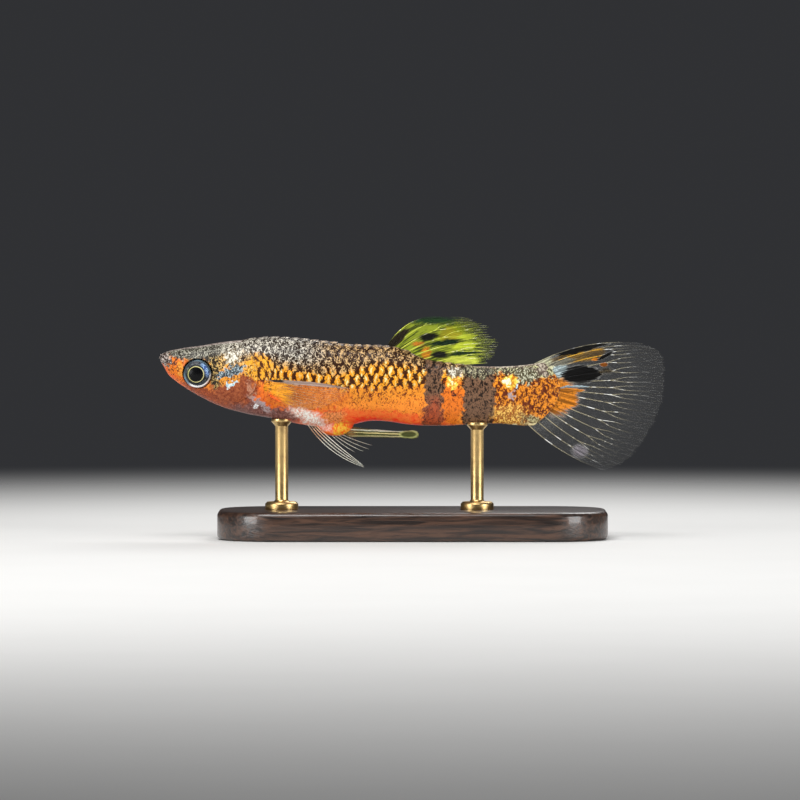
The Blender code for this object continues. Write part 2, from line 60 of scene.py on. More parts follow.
MM = 0.001
LENGTH = 35.04
SNOUT_AT = (-LENGTH / 2, 0.0, 12.6)
EYE = (2.65, -1.14)

# Edges sharper than this, in degrees, stay crisp on the fish
CRISP = 60.0
# No surface sends back more of the light than this
PALEST = 0.95
# How brightly the studio lights the back, the flank and the belly
BACK_LIGHT = 1.55
FLANK_LIGHT = 1.2
BELLY_LIGHT = 0.75

Array = np.ndarray
Object = bpy.types.Object
Material = bpy.types.Material
Colour = tuple[float, float, float, float]
Pair = tuple[float, float]
Row = tuple[float, ...]


class Slot(Enum):
    """Material slots of the record."""

    SKIN = "skin"
    EYE = "eye"
    DORSAL = "dorsal_fin"
    CLEAR = "clear_fin"
    BASE = "stand_base"
    ROD = "stand_rod"


class Side(Enum):
    """Flanks of the fish, as the sign of Y."""

    LEFT = -1
    RIGHT = 1

    @property
    def label(self) -> str:
        """The flank's name in the names of pieces and solids."""
        return "_" + self.name.lower()


def rgb(red: float, green: float, blue: float, light: float = FLANK_LIGHT) -> Colour:
    """Finds the surface colour that the studio's light brings out as a colour on screen.

    Args:
        red, green, blue: the colour on screen, 0 to 255.
        light: how brightly the place is lit.

    Returns:
        Linear red, green, blue and an alpha of 1.
    """
    shares = (value / 255 for value in (red, green, blue))
    linear = (s / 12.92 if s <= 0.04045 else ((s + 0.055) / 1.055) ** 2.4 for s in shares)
    return (*(min(level / light, PALEST) for level in linear), 1.0)


def between(first: Any, last: Any, share: Any) -> Any:
    """The value at a share of the way from first to last."""
    return first + (last - first) * share


def bell(away: Any) -> Any:
    """A soft bump, 1 high, that dies out a little beyond 1 away."""
    return np.exp(-(away**2))


def smooth(low: float, high: float, value: Any) -> Any:
    """Rises evenly from 0 at low to 1 at high."""
    share = np.clip((value - low) / (high - low), 0.0, 1.0)
    return share * share * (3 - 2 * share)


def through(knots: Sequence[Row], column: int, x: Any) -> Array:
    """Reads a smooth curve through one column of a table.

    Args:
        knots: rows of numbers, the first rising.
        column: which number to read.
        x: where, in the first column, a number or an array.

    Returns:
        The curve's values, shaped like x.
    """
    xs = np.array([row[0] for row in knots], float)
    ys = np.array([row[column] for row in knots], float)
    slopes = np.gradient(ys, xs)
    x = np.asarray(x, float)
    i = np.clip(np.searchsorted(xs, x) - 1, 0, len(xs) - 2)
    step = xs[i + 1] - xs[i]
    t = np.clip((x - xs[i]) / step, 0.0, 1.0)
    rise = ys[i] * (1 + 2 * t) * (1 - t) ** 2 + ys[i + 1] * t * t * (3 - 2 * t)
    return rise + step * t * (1 - t) * (slopes[i] * (1 - t) - slopes[i + 1] * t)


def stacked(*parts: Any) -> Array:
    """Points or pairs from their coordinates, each a number or an array."""
    return np.stack(np.broadcast_arrays(*parts), axis=-1).astype(float)


def unit(vectors: Array) -> Array:
    """Vectors at length 1."""
    return vectors / np.maximum(np.linalg.norm(vectors, axis=-1, keepdims=True), 1e-9)


def placed(points: Array) -> Array:
    """Points of the fish, in millimetres, where the frame has them, in metres."""
    return (points + np.array(SNOUT_AT)) * MM


# Modelling


def chosen(obj: Object | None) -> None:
    """Selects one object alone and makes it active.

    Args:
        obj: the object, or None to leave nothing selected.
    """
    bpy.ops.object.select_all(action="DESELECT")
    if obj:
        obj.select_set(True)
        bpy.context.view_layer.objects.active = obj


def added(name: str, primitive: Callable[..., Any], **sizes: Any) -> Object:
    """Adds a primitive.

    Args:
        name: of the new object.
        primitive: the operator that adds it.
        **sizes: the operator's settings.

    Returns:
        The object, selected alone.
    """
    chosen(None)
    primitive(**sizes)
    obj = bpy.context.active_object
    obj.name = obj.data.name = name
    return obj


def modified(obj: Object, kind: str, **settings: Any) -> Object:
    """Adds a modifier and applies it.

    Args:
        obj: what to change.
        kind: the modifier's type.
        **settings: its settings.

    Returns:
        The same object.
    """
    chosen(obj)
    modifier = obj.modifiers.new(kind.lower(), kind)
    for key, value in settings.items():
        setattr(modifier, key, value)
    bpy.ops.object.modifier_apply(modifier=modifier.name)
    return obj


def bevelled(obj: Object, width: float, segments: int, angle: float) -> Object:
    """Rounds an object's edges.

    Args:
        obj: what to change.
        width: of the rounding, in millimetres.
        segments: faces across it.
        angle: edges sharper than this, in degrees, are rounded.

    Returns:
        The same object.
    """
    limit = {"limit_method": "ANGLE", "angle_limit": math.radians(angle)}
    return modified(obj, "BEVEL", width=width * MM, segments=segments, **limit)


def closed_up(obj: Object, angle: float = CRISP) -> Object:
    """Turns a closed mesh's faces outwards and shades it smooth.

    Args:
        obj: the mesh object.
        angle: edges sharper than this, in degrees, stay crisp.

    Returns:
        The same object.
    """
    chosen(obj)
    bpy.ops.object.mode_set(mode="EDIT")
    bpy.ops.mesh.select_all(action="SELECT")
    bpy.ops.mesh.normals_make_consistent(inside=False)
    bpy.ops.object.mode_set(mode="OBJECT")
    bpy.ops.object.shade_smooth_by_angle(angle=math.radians(angle))
    return obj


def settled(obj: Object) -> Object:
    """Puts an object's place into its mesh.

    Args:
        obj: what to change.

    Returns:
        The same object, at the origin, unturned and unscaled.
    """
    chosen(obj)
    bpy.ops.object.transform_apply(location=True, rotation=True, scale=True)
    return obj


def turned(name: str, sides: int, profile: Sequence[Pair], foot: Row = (0, 0, 0)) -> Object:
    """Turns a rod: a disc, extruded and scaled up its profile.

    Args:
        name: of the new object.
        sides: how many go round it.
        profile: radius and height of each step.
        foot: the middle of the disc.

    Returns:
        The object, still placed at its foot.
    """
    circle = bpy.ops.mesh.primitive_circle_add
    radius = profile[0][0]
    obj = added(name, circle, vertices=sides, radius=radius, fill_type="NGON", location=foot)
    bpy.ops.object.mode_set(mode="EDIT")
    bpy.ops.mesh.select_all(action="SELECT")
    for (r0, z0), (r1, z1) in zip(profile, profile[1:]):
        move = {"value": (0.0, 0.0, z1 - z0)}
        bpy.ops.mesh.extrude_region_move(TRANSFORM_OT_translate=move)
        if r1 != r0:
            bpy.ops.transform.resize(value=(r1 / r0, r1 / r0, 1.0))
    bpy.ops.object.mode_set(mode="OBJECT")
    return obj


def mesh_points(obj: Object) -> Array:
    """Reads the points of an object's mesh.

    Args:
        obj: the mesh object.

    Returns:
        One row for each point.
    """
    flat = np.empty(len(obj.data.vertices) * 3)
    obj.data.vertices.foreach_get("co", flat)
    return flat.reshape(-1, 3)


def reshaped(obj: Object, points: Array) -> Object:
    """Moves an object's points.

    Args:
        obj: the mesh object.
        points: their new places on the fish.

    Returns:
        The same object, closed up.
    """
    obj.data.vertices.foreach_set("co", placed(points).astype(np.float32).ravel())
    obj.data.update()
    return closed_up(obj)


def write_map(obj: Object, name: str, values: Array) -> None:
    """Gives a mesh a UV map.

    Args:
        obj: the mesh object.
        name: of the map.
        values: one pair of numbers for each point.
    """
    mesh = obj.data
    points = np.empty(len(mesh.loops), np.int32)
    mesh.loops.foreach_get("vertex_index", points)
    layer = mesh.uv_layers.new(name=name)
    layer.data.foreach_set("uv", values[points].astype(np.float32).ravel())


def write_vectors(obj: Object, name: str, values: Array) -> None:
    """Gives a mesh an attribute of three numbers for each point."""
    layer = obj.data.attributes.new(name, "FLOAT_VECTOR", "POINT")
    layer.data.foreach_set("vector", values.astype(np.float32).ravel())


@dataclass(frozen=True)
class Template:
    """A shape that is modelled once and laid down many times."""

    points: Array
    faces: list[tuple[int, ...]]

    @classmethod
    def lifted(cls, obj: Object) -> Template:
        """Reads a template from a modelled object, and removes the object.

        Args:
            obj: the model.

        Returns:
            The template.
        """
        template = cls(mesh_points(obj), [tuple(face.vertices) for face in obj.data.polygons])
        bpy.data.objects.remove(obj)
        return template

    @classmethod
    def slab(cls, along: int, across: int) -> Template:
        """Models a flat closed slab from -1 to 1 each way, its top at 0 and its bottom at -1.

        Args:
            along, across: how many faces it has each way.

        Returns:
            The template.
        """
        grid = bpy.ops.mesh.primitive_grid_add
        obj = added("slab", grid, x_subdivisions=along, y_subdivisions=across, size=2.0)
        return cls.lifted(modified(obj, "SOLIDIFY", thickness=1.0, offset=-1.0))

    @classmethod
    def tube(cls, rings: int, sides: int) -> Template:
        """Models a closed tube of radius 1, from height 0 to 1."""
        return cls.lifted(turned("tube", sides, [(1.0, i / (rings - 1)) for i in range(rings)]))

    def rings(self, count: int) -> Array:
        """Which ring of a tube with so many rings each point is on."""
        return np.rint(self.points[:, 2] * (count - 1)).astype(int)

    def bent(self, path: Array, normals: Array, radii: Array) -> Array:
        """Bends a tube along a path.

        Args:
            path: the middle of each ring.
            normals: across the sheet that the path lies in, at each ring.
            radii: of each ring.

        Returns:
            The places of the tube's points.
        """
        ring = self.rings(len(path))
        tangent = unit(np.gradient(path, axis=0))
        side = unit(np.cross(tangent, normals))
        up = np.cross(side, tangent)
        around = self.points[:, 0:1] * side[ring] + self.points[:, 1:2] * up[ring]
        return path[ring] + radii[ring, None] * around

    def laid(self, name: str, copies: Sequence[Array]) -> Object:
        """Joins copies of the template into one object.

        Args:
            name: of the object.
            copies: the places of all the template's points on the fish, for each copy.

        Returns:
            The object, closed up.
        """
        count = len(self.points)
        faces = [
            tuple(corner + index * count for corner in face)
            for index in range(len(copies))
            for face in self.faces
        ]
        mesh = bpy.data.meshes.new(name)
        mesh.from_pydata(placed(np.concatenate(copies)).tolist(), [], faces)
        obj = bpy.data.objects.new(name, mesh)
        bpy.context.scene.collection.objects.link(obj)
        return closed_up(obj)


def put_on(obj: Object, material: Material, slot: Slot, *nodes: str) -> None:
    """Dresses a piece and tells the frame about it.

    Args:
        obj: the piece.
        material: its finish.
        slot: the record's slot that the finish comes from; not used.
        *nodes: the solids that the piece stands for.
    """
    obj.data.materials.clear()
    obj.data.materials.append(material)
    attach(obj, "root")
    if nodes:
        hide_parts(*nodes)
    log.info("%s: %d faces", obj.name, len(obj.data.polygons))


# Shader maths


def number_maths(operation: str, reflected: bool = False) -> Callable[..., Num]:
    """Makes a Num's operator.

    Args:
        operation: of the Math node that works it out.
        reflected: whether the Num comes last.

    Returns:
        The operator.
    """

    def worked_out(one: Num, *others: Any) -> Num:
        """The node's result."""
        return one.tree.math(operation, *((*others, one) if reflected else (one, *others)))

    return worked_out


def vector_maths(operation: str) -> Callable[[Vec, Any], Vec]:
    """Makes a Vec's operator.

    Args:
        operation: of the Vector Math node that works it out.

    Returns:
        The operator.
    """

    def worked_out(one: Vec, other: Any) -> Vec:
        """The node's result."""
        sockets = {0: one, 1: other}
        return one.tree.vec("ShaderNodeVectorMath", {"operation": operation}, sockets)

    return worked_out


@dataclass(frozen=True)
class Num:
    """A number that varies over a surface, with Python's operators."""

    tree: Tree
    socket: bpy.types.NodeSocket

    __add__ = __radd__ = number_maths("ADD")
    __sub__, __rsub__ = number_maths("SUBTRACT"), number_maths("SUBTRACT", reflected=True)
    __mul__ = __rmul__ = number_maths("MULTIPLY")
    __truediv__ = number_maths("DIVIDE")
    __pow__ = number_maths("POWER")
    __abs__ = number_maths("ABSOLUTE")
    least = number_maths("MINIMUM")
    most = number_maths("MAXIMUM")

    def rise(self, low: float, high: float) -> Num:
        """Rises smoothly from 0 at low to 1 at high."""
        return self.ranged(low, high, 0.0, 1.0)

    def fall(self, low: float, high: float) -> Num:
        """Falls smoothly from 1 at low to 0 at high."""
        return self.ranged(low, high, 1.0, 0.0)

    def ranged(self, *ends: Any) -> Num:
        """Goes smoothly between two ends: where it starts and stops, then its values there."""
        kind = {"interpolation_type": "SMOOTHSTEP"}
        return self.tree.num("ShaderNodeMapRange", kind, dict(enumerate((self, *ends))))


@dataclass(frozen=True)
class Vec:
    """A vector or a colour that varies over a surface."""

    tree: Tree
    socket: bpy.types.NodeSocket

    __add__ = vector_maths("ADD")
    __sub__ = vector_maths("SUBTRACT")
    __mul__ = vector_maths("MULTIPLY")

    def parts(self) -> tuple[Num, Num, Num]:
        """The three numbers."""
        node = self.tree.node("ShaderNodeSeparateXYZ", {}, {0: self})
        return tuple(Num(self.tree, out) for out in node.outputs)

    def length(self) -> Num:
        """Length."""
        kind = {"operation": "LENGTH"}
        return self.tree.num("ShaderNodeVectorMath", kind, {0: self}, "Value")

    def within(self, x: float, z: float, long: float, tall: float, turn: float = 0.0) -> Num:
        """How far out of an oval a place is: 0 in its middle and 1 on its edge.

        Args:
            x, z: the oval's middle.
            long, tall: its half sizes.
            turn: degrees that its long axis rises.

        Returns:
            The distance, in half sizes.
        """
        sockets = {
            "Vector": self,
            "Location": (x, z, 0.0),
            "Rotation": (0.0, 0.0, math.radians(turn)),
            "Scale": (long, tall, 1.0),
        }
        return self.tree.vec("ShaderNodeMapping", {"vector_type": "TEXTURE"}, sockets).length()


class Tree:
    """One material's nodes, built from Python expressions."""

    def __init__(self, name: str) -> None:
        """Makes the material.

        Args:
            name: of the material.
        """
        self.material = bpy.data.materials.new(name)
        self.material.use_nodes = True
        self.graph = self.material.node_tree
        self.shader = self.graph.nodes["Principled BSDF"]

    def feed(self, socket: bpy.types.NodeSocket, value: Any) -> None:
        """Links a value to a socket, or sets it there.

        Args:
            socket: the input.
            value: what it gets.
        """
        if isinstance(value, (Num, Vec)):
            self.graph.links.new(value.socket, socket)
        else:
            socket.default_value = value

    def node(self, kind: str, settings: dict[str, Any], sockets: dict[Any, Any]) -> bpy.types.Node:
        """Adds a node.

        Args:
            kind: its type.
            settings: what is set on it first.
            sockets: values or links of its inputs, by name or number.

        Returns:
            The node.
        """
        made = self.graph.nodes.new(kind)
        for key, value in settings.items():
            setattr(made, key, value)
        for key, value in sockets.items():
            self.feed(made.inputs[key], value)
        return made

    def num(self, kind: str, settings: dict, sockets: dict, output: Any = 0) -> Num:
        """The number that a new node gives."""
        return Num(self, self.node(kind, settings, sockets).outputs[output])

    def vec(self, kind: str, settings: dict, sockets: dict, output: Any = 0) -> Vec:
        """The vector or colour that a new node gives."""
        return Vec(self, self.node(kind, settings, sockets).outputs[output])

    def math(self, operation: str, *values: Any) -> Num:
        """The result of one Math node."""
        return self.num("ShaderNodeMath", {"operation": operation}, dict(enumerate(values)))

    def place(self) -> Vec:
        """Where a place is, in metres."""
        return self.vec("ShaderNodeTexCoord", {}, {}, "Object")

    def spot(self) -> Vec:
        """Where on the fish a place is, in its own millimetres."""
        return self.place() * (1 / MM, 1 / MM, 1 / MM) - SNOUT_AT

    def attribute(self, name: str) -> Vec:
        """An attribute of the mesh."""
        return self.vec("ShaderNodeAttribute", {"attribute_name": name}, {}, "Vector")

    def map(self, name: str) -> Vec:
        """A UV map of the mesh."""
        return self.vec("ShaderNodeUVMap", {"uv_map": name}, {})

    def pair(self, x: Any, z: Any) -> Vec:
        """A vector of two numbers."""
        return self.vec("ShaderNodeCombineXYZ", {}, {0: x, 1: z})

    def noise(self, at: Vec, scale: float, detail: float = 2.0, warp: float = 0.0) -> Num:
        """Soft noise from 0 to 1, with scale bumps to a millimetre."""
        sockets = {"Vector": at, "Scale": scale, "Detail": detail, "Distortion": warp}
        return self.num("ShaderNodeTexNoise", {}, sockets)

    def stir(self, at: Vec, scale: float, detail: float = 2.0) -> Vec:
        """Soft noise each way, about 0, that moves places a little."""
        sockets = {"Vector": at, "Scale": scale, "Detail": detail}
        return self.vec("ShaderNodeTexNoise", {}, sockets, 1) - (0.5, 0.5, 0.5)

    def mix(self, below: Any, above: Any, share: Any) -> Vec:
        """Lays one colour over another: share is how much of the upper one shows."""
        sockets = {0: share, 6: below, 7: above}
        return self.vec("ShaderNodeMix", {"data_type": "RGBA"}, sockets, 2)

    def bump(self, height: Num, depth: float) -> Vec:
        """A normal from a height field, depth in millimetres."""
        sockets = {"Strength": 1.0, "Distance": depth * MM, "Height": height}
        return self.vec("ShaderNodeBump", {}, sockets)

    def dress(self, **sockets: Any) -> Material:
        """Feeds the material's shader.

        Args:
            **sockets: its inputs, with an underline for each space.

        Returns:
            The material.
        """
        for key, value in sockets.items():
            self.feed(self.shader.inputs[key.replace("_", " ")], value)
        return self.material


@dataclass(frozen=True)
class Body:
    """Shape of head, trunk and tail stalk, as in the solids but for the stalk's thin end.

    Heights in its methods run from -1 at the belly to 1 at the back. Opercle is the gill
    cover, and preopercle the raised edge across its cheek.
    """

    # Distance from the snout, then back, belly and half width there
    sections: tuple[Row, ...] = (
        (0.00, 0.00, 0.00, 0.00),
        (0.25, 0.22, -0.62, 0.52),
        (0.56, 0.36, -1.17, 0.78),
        (1.11, 0.49, -1.68, 1.00),
        (1.71, 0.60, -2.11, 1.16),
        (2.92, 0.76, -2.83, 1.36),
        (4.12, 0.97, -3.40, 1.52),
        (5.93, 1.16, -3.94, 1.70),
        (7.74, 1.30, -4.27, 1.78),
        (9.55, 1.22, -4.64, 1.80),
        (11.3, 1.03, -4.88, 1.74),
        (13.1, 0.87, -4.75, 1.62),
        (14.6, 0.76, -4.45, 1.49),
        (15.9, 0.69, -4.50, 1.37),
        (17.2, 0.34, -4.70, 1.24),
        (18.5, -0.22, -4.79, 1.10),
        (19.9, -0.46, -4.78, 0.98),
        (21.6, -0.65, -4.69, 0.84),
        (23.6, -0.69, -4.65, 0.66),
        (25.4, -0.57, -4.78, 0.45),
        (26.6, -0.42, -4.72, 0.22),
        (27.8, -0.55, -4.40, 0.04),
    )
    spine_level: float = 0.12
    # Powers of the upper and lower half sections, at the head and at the trunk
    crowns: Pair = (0.78, 0.93)
    keels: Pair = (1.04, 0.95)
    crown_fades: Pair = (3.0, 9.0)
    opercle_ring: float = 5.9
    opercle_tip: float = 6.8
    opercle_level: float = -0.15
    opercle_sweep: Pair = (1.0, 3.9)
    opercle_reach: float = 3.2
    opercle_raise: float = 0.10
    opercle_rise: Pair = (4.2, 5.6)
    shoulder_drop: float = 0.03
    shoulder_fade: float = 1.2
    preopercle: Pair = (4.6, 0.9)
    preopercle_raise: float = 0.06
    preopercle_edge: Pair = (-0.2, 0.1)
    tail_ring: float = 27.75
    tail_sweep: Pair = (1.1, 1.85)
    tail_reach: float = 3.6
    fin_gap: float = 0.3

    def section(self, x: Any) -> tuple[Array, Array, Array]:
        """Measures a cross section, with the snout's own end rounded off.

        Args:
            x: distance from the snout.

        Returns:
            Back, belly and half width there.
        """
        nose = self.sections[1][0]
        share = np.sqrt(np.clip(np.asarray(x, float) / nose, 0.0, 1.0))
        inner = np.maximum(x, nose)
        return tuple(through(self.sections[1:], i, inner) * share for i in (1, 2, 3))

    def heart(self, x: Any) -> tuple[Array, Array, Array]:
        """Finds where a cross section is widest.

        Args:
            x: distance from the snout.

        Returns:
            The level of the widest place, and the reach above and below it.
        """
        top, bottom, _ = self.section(x)
        level = (top + bottom) / 2 + self.spine_level * (top - bottom) / 2
        return level, top - level, level - bottom

    def roundness(self, x: Any, above: Any) -> Array:
        """Finds the power that shapes half of a cross section.

        Args:
            x: distance from the snout.
            above: whether it is the upper half.

        Returns:
            The power.
        """
        fade = smooth(*self.crown_fades, x)
        return np.where(above, between(*self.crowns, fade), between(*self.keels, fade))

    def swept(self, ring: Any, height: Any) -> Array:
        """Bends the rings back at the gill cover's edge and at the stalk's end.

        Args:
            ring: station of the ring.
            height: from -1 to 1.

        Returns:
            Where the ring's point really stands along the body.
        """
        away = height - self.opercle_level
        bend = np.where(away > 0, *self.opercle_sweep) * away**2
        near = smooth(0.0, 1.0, 1 - np.abs(ring - self.opercle_ring) / self.opercle_reach)
        gill = near * (self.opercle_tip - self.opercle_ring - bend)
        tail = np.where(height > 0, *self.tail_sweep) * height**2
        return ring + gill - smooth(self.tail_ring - self.tail_reach, self.tail_ring, ring) * tail

    def cover(self, ring: Array, x: Array, height: Array) -> Array:
        """Raises the gill cover, with its step down to the shoulder.

        Args:
            ring: station of the ring.
            x: where the point really stands.
            height: from -1 to 1.

        Returns:
            How far the surface stands proud.
        """
        at, bend = self.preopercle
        front = at - bend * height**2
        low, high = self.preopercle_edge
        cheek = self.preopercle_raise * smooth(front + low, front + high, x)
        step = self.opercle_raise - self.preopercle_raise
        raised = cheek + step * smooth(*self.opercle_rise, ring)
        behind = ring - self.opercle_ring
        shoulder = self.shoulder_drop * (smooth(0.0, self.shoulder_fade, behind) - 1)
        return np.where(behind > 0, shoulder, raised)

    def surface(self, ring: Any, angle: Any) -> Array:
        """Points of the body's surface, rings along it and angles around it.

        Args:
            ring: stations from the snout.
            angle: 0 on the right flank and a quarter turn on the back, in radians.

        Returns:
            Points in millimetres.
        """
        ring, angle = np.broadcast_arrays(np.asarray(ring, float), np.asarray(angle, float))
        side, height = np.cos(angle), np.sin(angle)
        x = self.swept(ring, height)
        level, up, down = self.heart(x)
        power = self.roundness(x, height > 0)
        half = self.section(x)[2] + self.cover(ring, x, height) * (1 - height**2)
        y = np.sign(side) * np.abs(side) ** power * half
        z = level + np.sign(height) * np.abs(height) ** power * np.where(height > 0, up, down)
        return stacked(x, y, z)

    def flank(self, x: Any, z: Any) -> Array:
        """Measures how far out the flank is.

        Args:
            x, z: a place in side view.

        Returns:
            Half the body's width there.
        """
        level, up, down = self.heart(x)
        share = np.clip(np.abs(z - level) / np.where(z > level, up, down), 0.0, 1.0)
        power = self.roundness(x, z > level)
        return self.section(x)[2] * np.sqrt(1 - share ** (2 / power)) ** power

    def tail_root(self, height: float) -> Pair:
        """Finds where the tail fin grows.

        Args:
            height: from -1 to 1 of the stalk's end.

        Returns:
            The place in side view.
        """
        x = float(self.swept(self.tail_ring, np.float64(height)))
        level, up, down = self.heart(x)
        return x + self.fin_gap, float(level + height * (up if height > 0 else down))


BODY = Body()


@dataclass(frozen=True)
class Tone:
    """The dark and the light colour that mingle in one region of the skin.

    Level is the share of the light one, contrast how sharply they part, and glint level how
    many bright flecks, painted glints, lie on them.
    """

    dark: Colour
    light: Colour
    level: float = 0.6
    contrast: float = 0.8
    glint_level: float = 0.0

    @property
    def feel(self) -> Colour:
        """Level, contrast and glint level, as the three parts of a colour."""
        return (self.level, self.contrast, self.glint_level, 1.0)


def toned(dark: Row, light: Row, *feel: float, lit: float = FLANK_LIGHT) -> Tone:
    """A tone from its two colours on screen, its feel and how brightly its place is lit."""
    return Tone(rgb(*dark, lit), rgb(*light, lit), *feel)


@dataclass(frozen=True)
class Mark:
    """A ragged oval region: its middle, half sizes, tone, tilt and edge."""

    x: float
    z: float
    long: float
    tall: float
    tone: Tone
    turn: float = 0.0
    soft: float = 0.2


HEAD_TOP = toned((52, 46, 36), (196, 192, 172), 0.30, 0.9, lit=BACK_LIGHT)
BACK = toned((54, 38, 22), (255, 246, 226), 0.36, 1.4, 0.1, lit=BACK_LIGHT)
BACK_BROWN = toned((62, 34, 14), (248, 202, 138), 0.33, 1.3, 0.25, lit=BACK_LIGHT)
# A pale mauve line along the back's outline: a painted highlight
CREST_HIGHLIGHT = toned((130, 110, 100), (216, 196, 190), 0.5, 0.8, lit=BACK_LIGHT)
GOLD = toned((74, 36, 12), (255, 168, 40), 0.62, 0.95, 1.0)
GOLD_PATCH = toned((84, 42, 12), (255, 178, 52), 0.74, 0.8, 0.4)
FLANK = Tone(rgb(150, 54, 16), rgb(255, 150, 50, 1.06), 1.15, 0.8)
FLANK_TOP = toned((124, 50, 18), (255, 158, 46), 0.85, 0.9)
BELLY = toned((246, 66, 28), (255, 102, 44), 0.6, 0.3, lit=0.66)
KEEL = toned((250, 26, 12), (255, 58, 26), 0.5, 0.3, lit=0.6)
STALK = toned((108, 42, 14), (250, 154, 42), 0.45, 1.15, 0.15)
STALK_TOP = toned((70, 60, 36), (244, 240, 184), 0.41, 1.15, 0.1, lit=BACK_LIGHT)
SNOUT = toned((70, 52, 44), (220, 206, 196), 0.36, 1.0, lit=BACK_LIGHT)
CHEEK = toned((140, 50, 14), (242, 122, 26), 0.72, 0.7)
CHEEK_SPECKS = toned((84, 32, 14), (246, 130, 28), 0.51, 1.1)
CHEEK_GOLD = toned((160, 80, 20), (255, 164, 48), 0.7, 0.8, 0.1)
JAW = toned((226, 84, 24), (255, 122, 38), 0.5, 0.3)
CHEEK_LOW = toned((130, 56, 30), (190, 92, 48), 0.45, 0.3)
GILL = toned((130, 54, 28), (186, 102, 60), 0.45, 0.3)
GILL_ORANGE = toned((116, 56, 14), (248, 160, 46), 0.62, 0.95, 0.3)
CREAM = toned((120, 104, 78), (250, 244, 226), 0.46, 0.9)
TAN = toned((84, 60, 34), (236, 190, 112), 0.42, 1.2)
DARK = toned((44, 34, 24), (206, 172, 104), 0.3, 1.0)
SILVER = toned((58, 66, 72), (186, 204, 210), 0.36, 0.9)
CYAN = toned((120, 186, 210), (240, 254, 255), 0.6, 0.8)
EDGE = toned((150, 84, 58), (206, 146, 116), 0.5, 0.4)
GLINT = toned((250, 250, 250), (255, 255, 255))
THROAT = toned((86, 50, 44), (134, 92, 84), 0.42, 0.25, lit=BELLY_LIGHT)
PALE = toned((150, 122, 116), (196, 178, 180), 0.5, 0.4)
RUDDY = toned((212, 72, 22), (255, 126, 36), 0.6, 0.4)
PLAIN = toned((196, 90, 30), (250, 142, 46), 0.6, 0.4)
# Pinkish skin over the vent; its whitish streaks are painted highlights
VENT = toned((190, 126, 104), (255, 222, 212), 0.48, 0.4, lit=BELLY_LIGHT)
VENT_BROWN = toned((150, 76, 36), (216, 134, 76), 0.5, 0.5, lit=BELLY_LIGHT)
VENT_ORANGE = toned((222, 88, 20), (255, 170, 54), 0.5, 0.9, lit=BELLY_LIGHT)
BAR = toned((34, 22, 15), (132, 98, 74), 0.51, 0.85)
BAR_LOW = toned((92, 40, 26), (158, 72, 40), 0.52, 0.5, lit=BELLY_LIGHT)
PATCH = toned((150, 54, 14), (250, 132, 38), 0.85, 0.6)
NOTCH = toned((70, 34, 20), (190, 90, 40), 0.15, 0.6)
SPOT = toned((224, 140, 30), (255, 236, 96), 0.62, 0.8, 0.15)
# The white middle of the yellow spots: a painted glint
SPOT_GLINT = toned((255, 240, 140), (255, 255, 240), 0.7, 0.8)
BAR_TOP = toned((58, 48, 36), (204, 196, 156), 0.34, 1.0, lit=BACK_LIGHT)
STALK_LOW = toned((140, 80, 28), (226, 178, 90), 0.42, 0.7, lit=BELLY_LIGHT)
PALE_GREEN = toned((80, 72, 48), (226, 226, 196), 0.38, 1.0, 0.1)
STALK_END = toned((104, 80, 48), (206, 196, 146), 0.45, 0.7)
UNDERLINE = toned((180, 140, 90), (236, 206, 158), 0.6, 0.4, lit=BELLY_LIGHT)


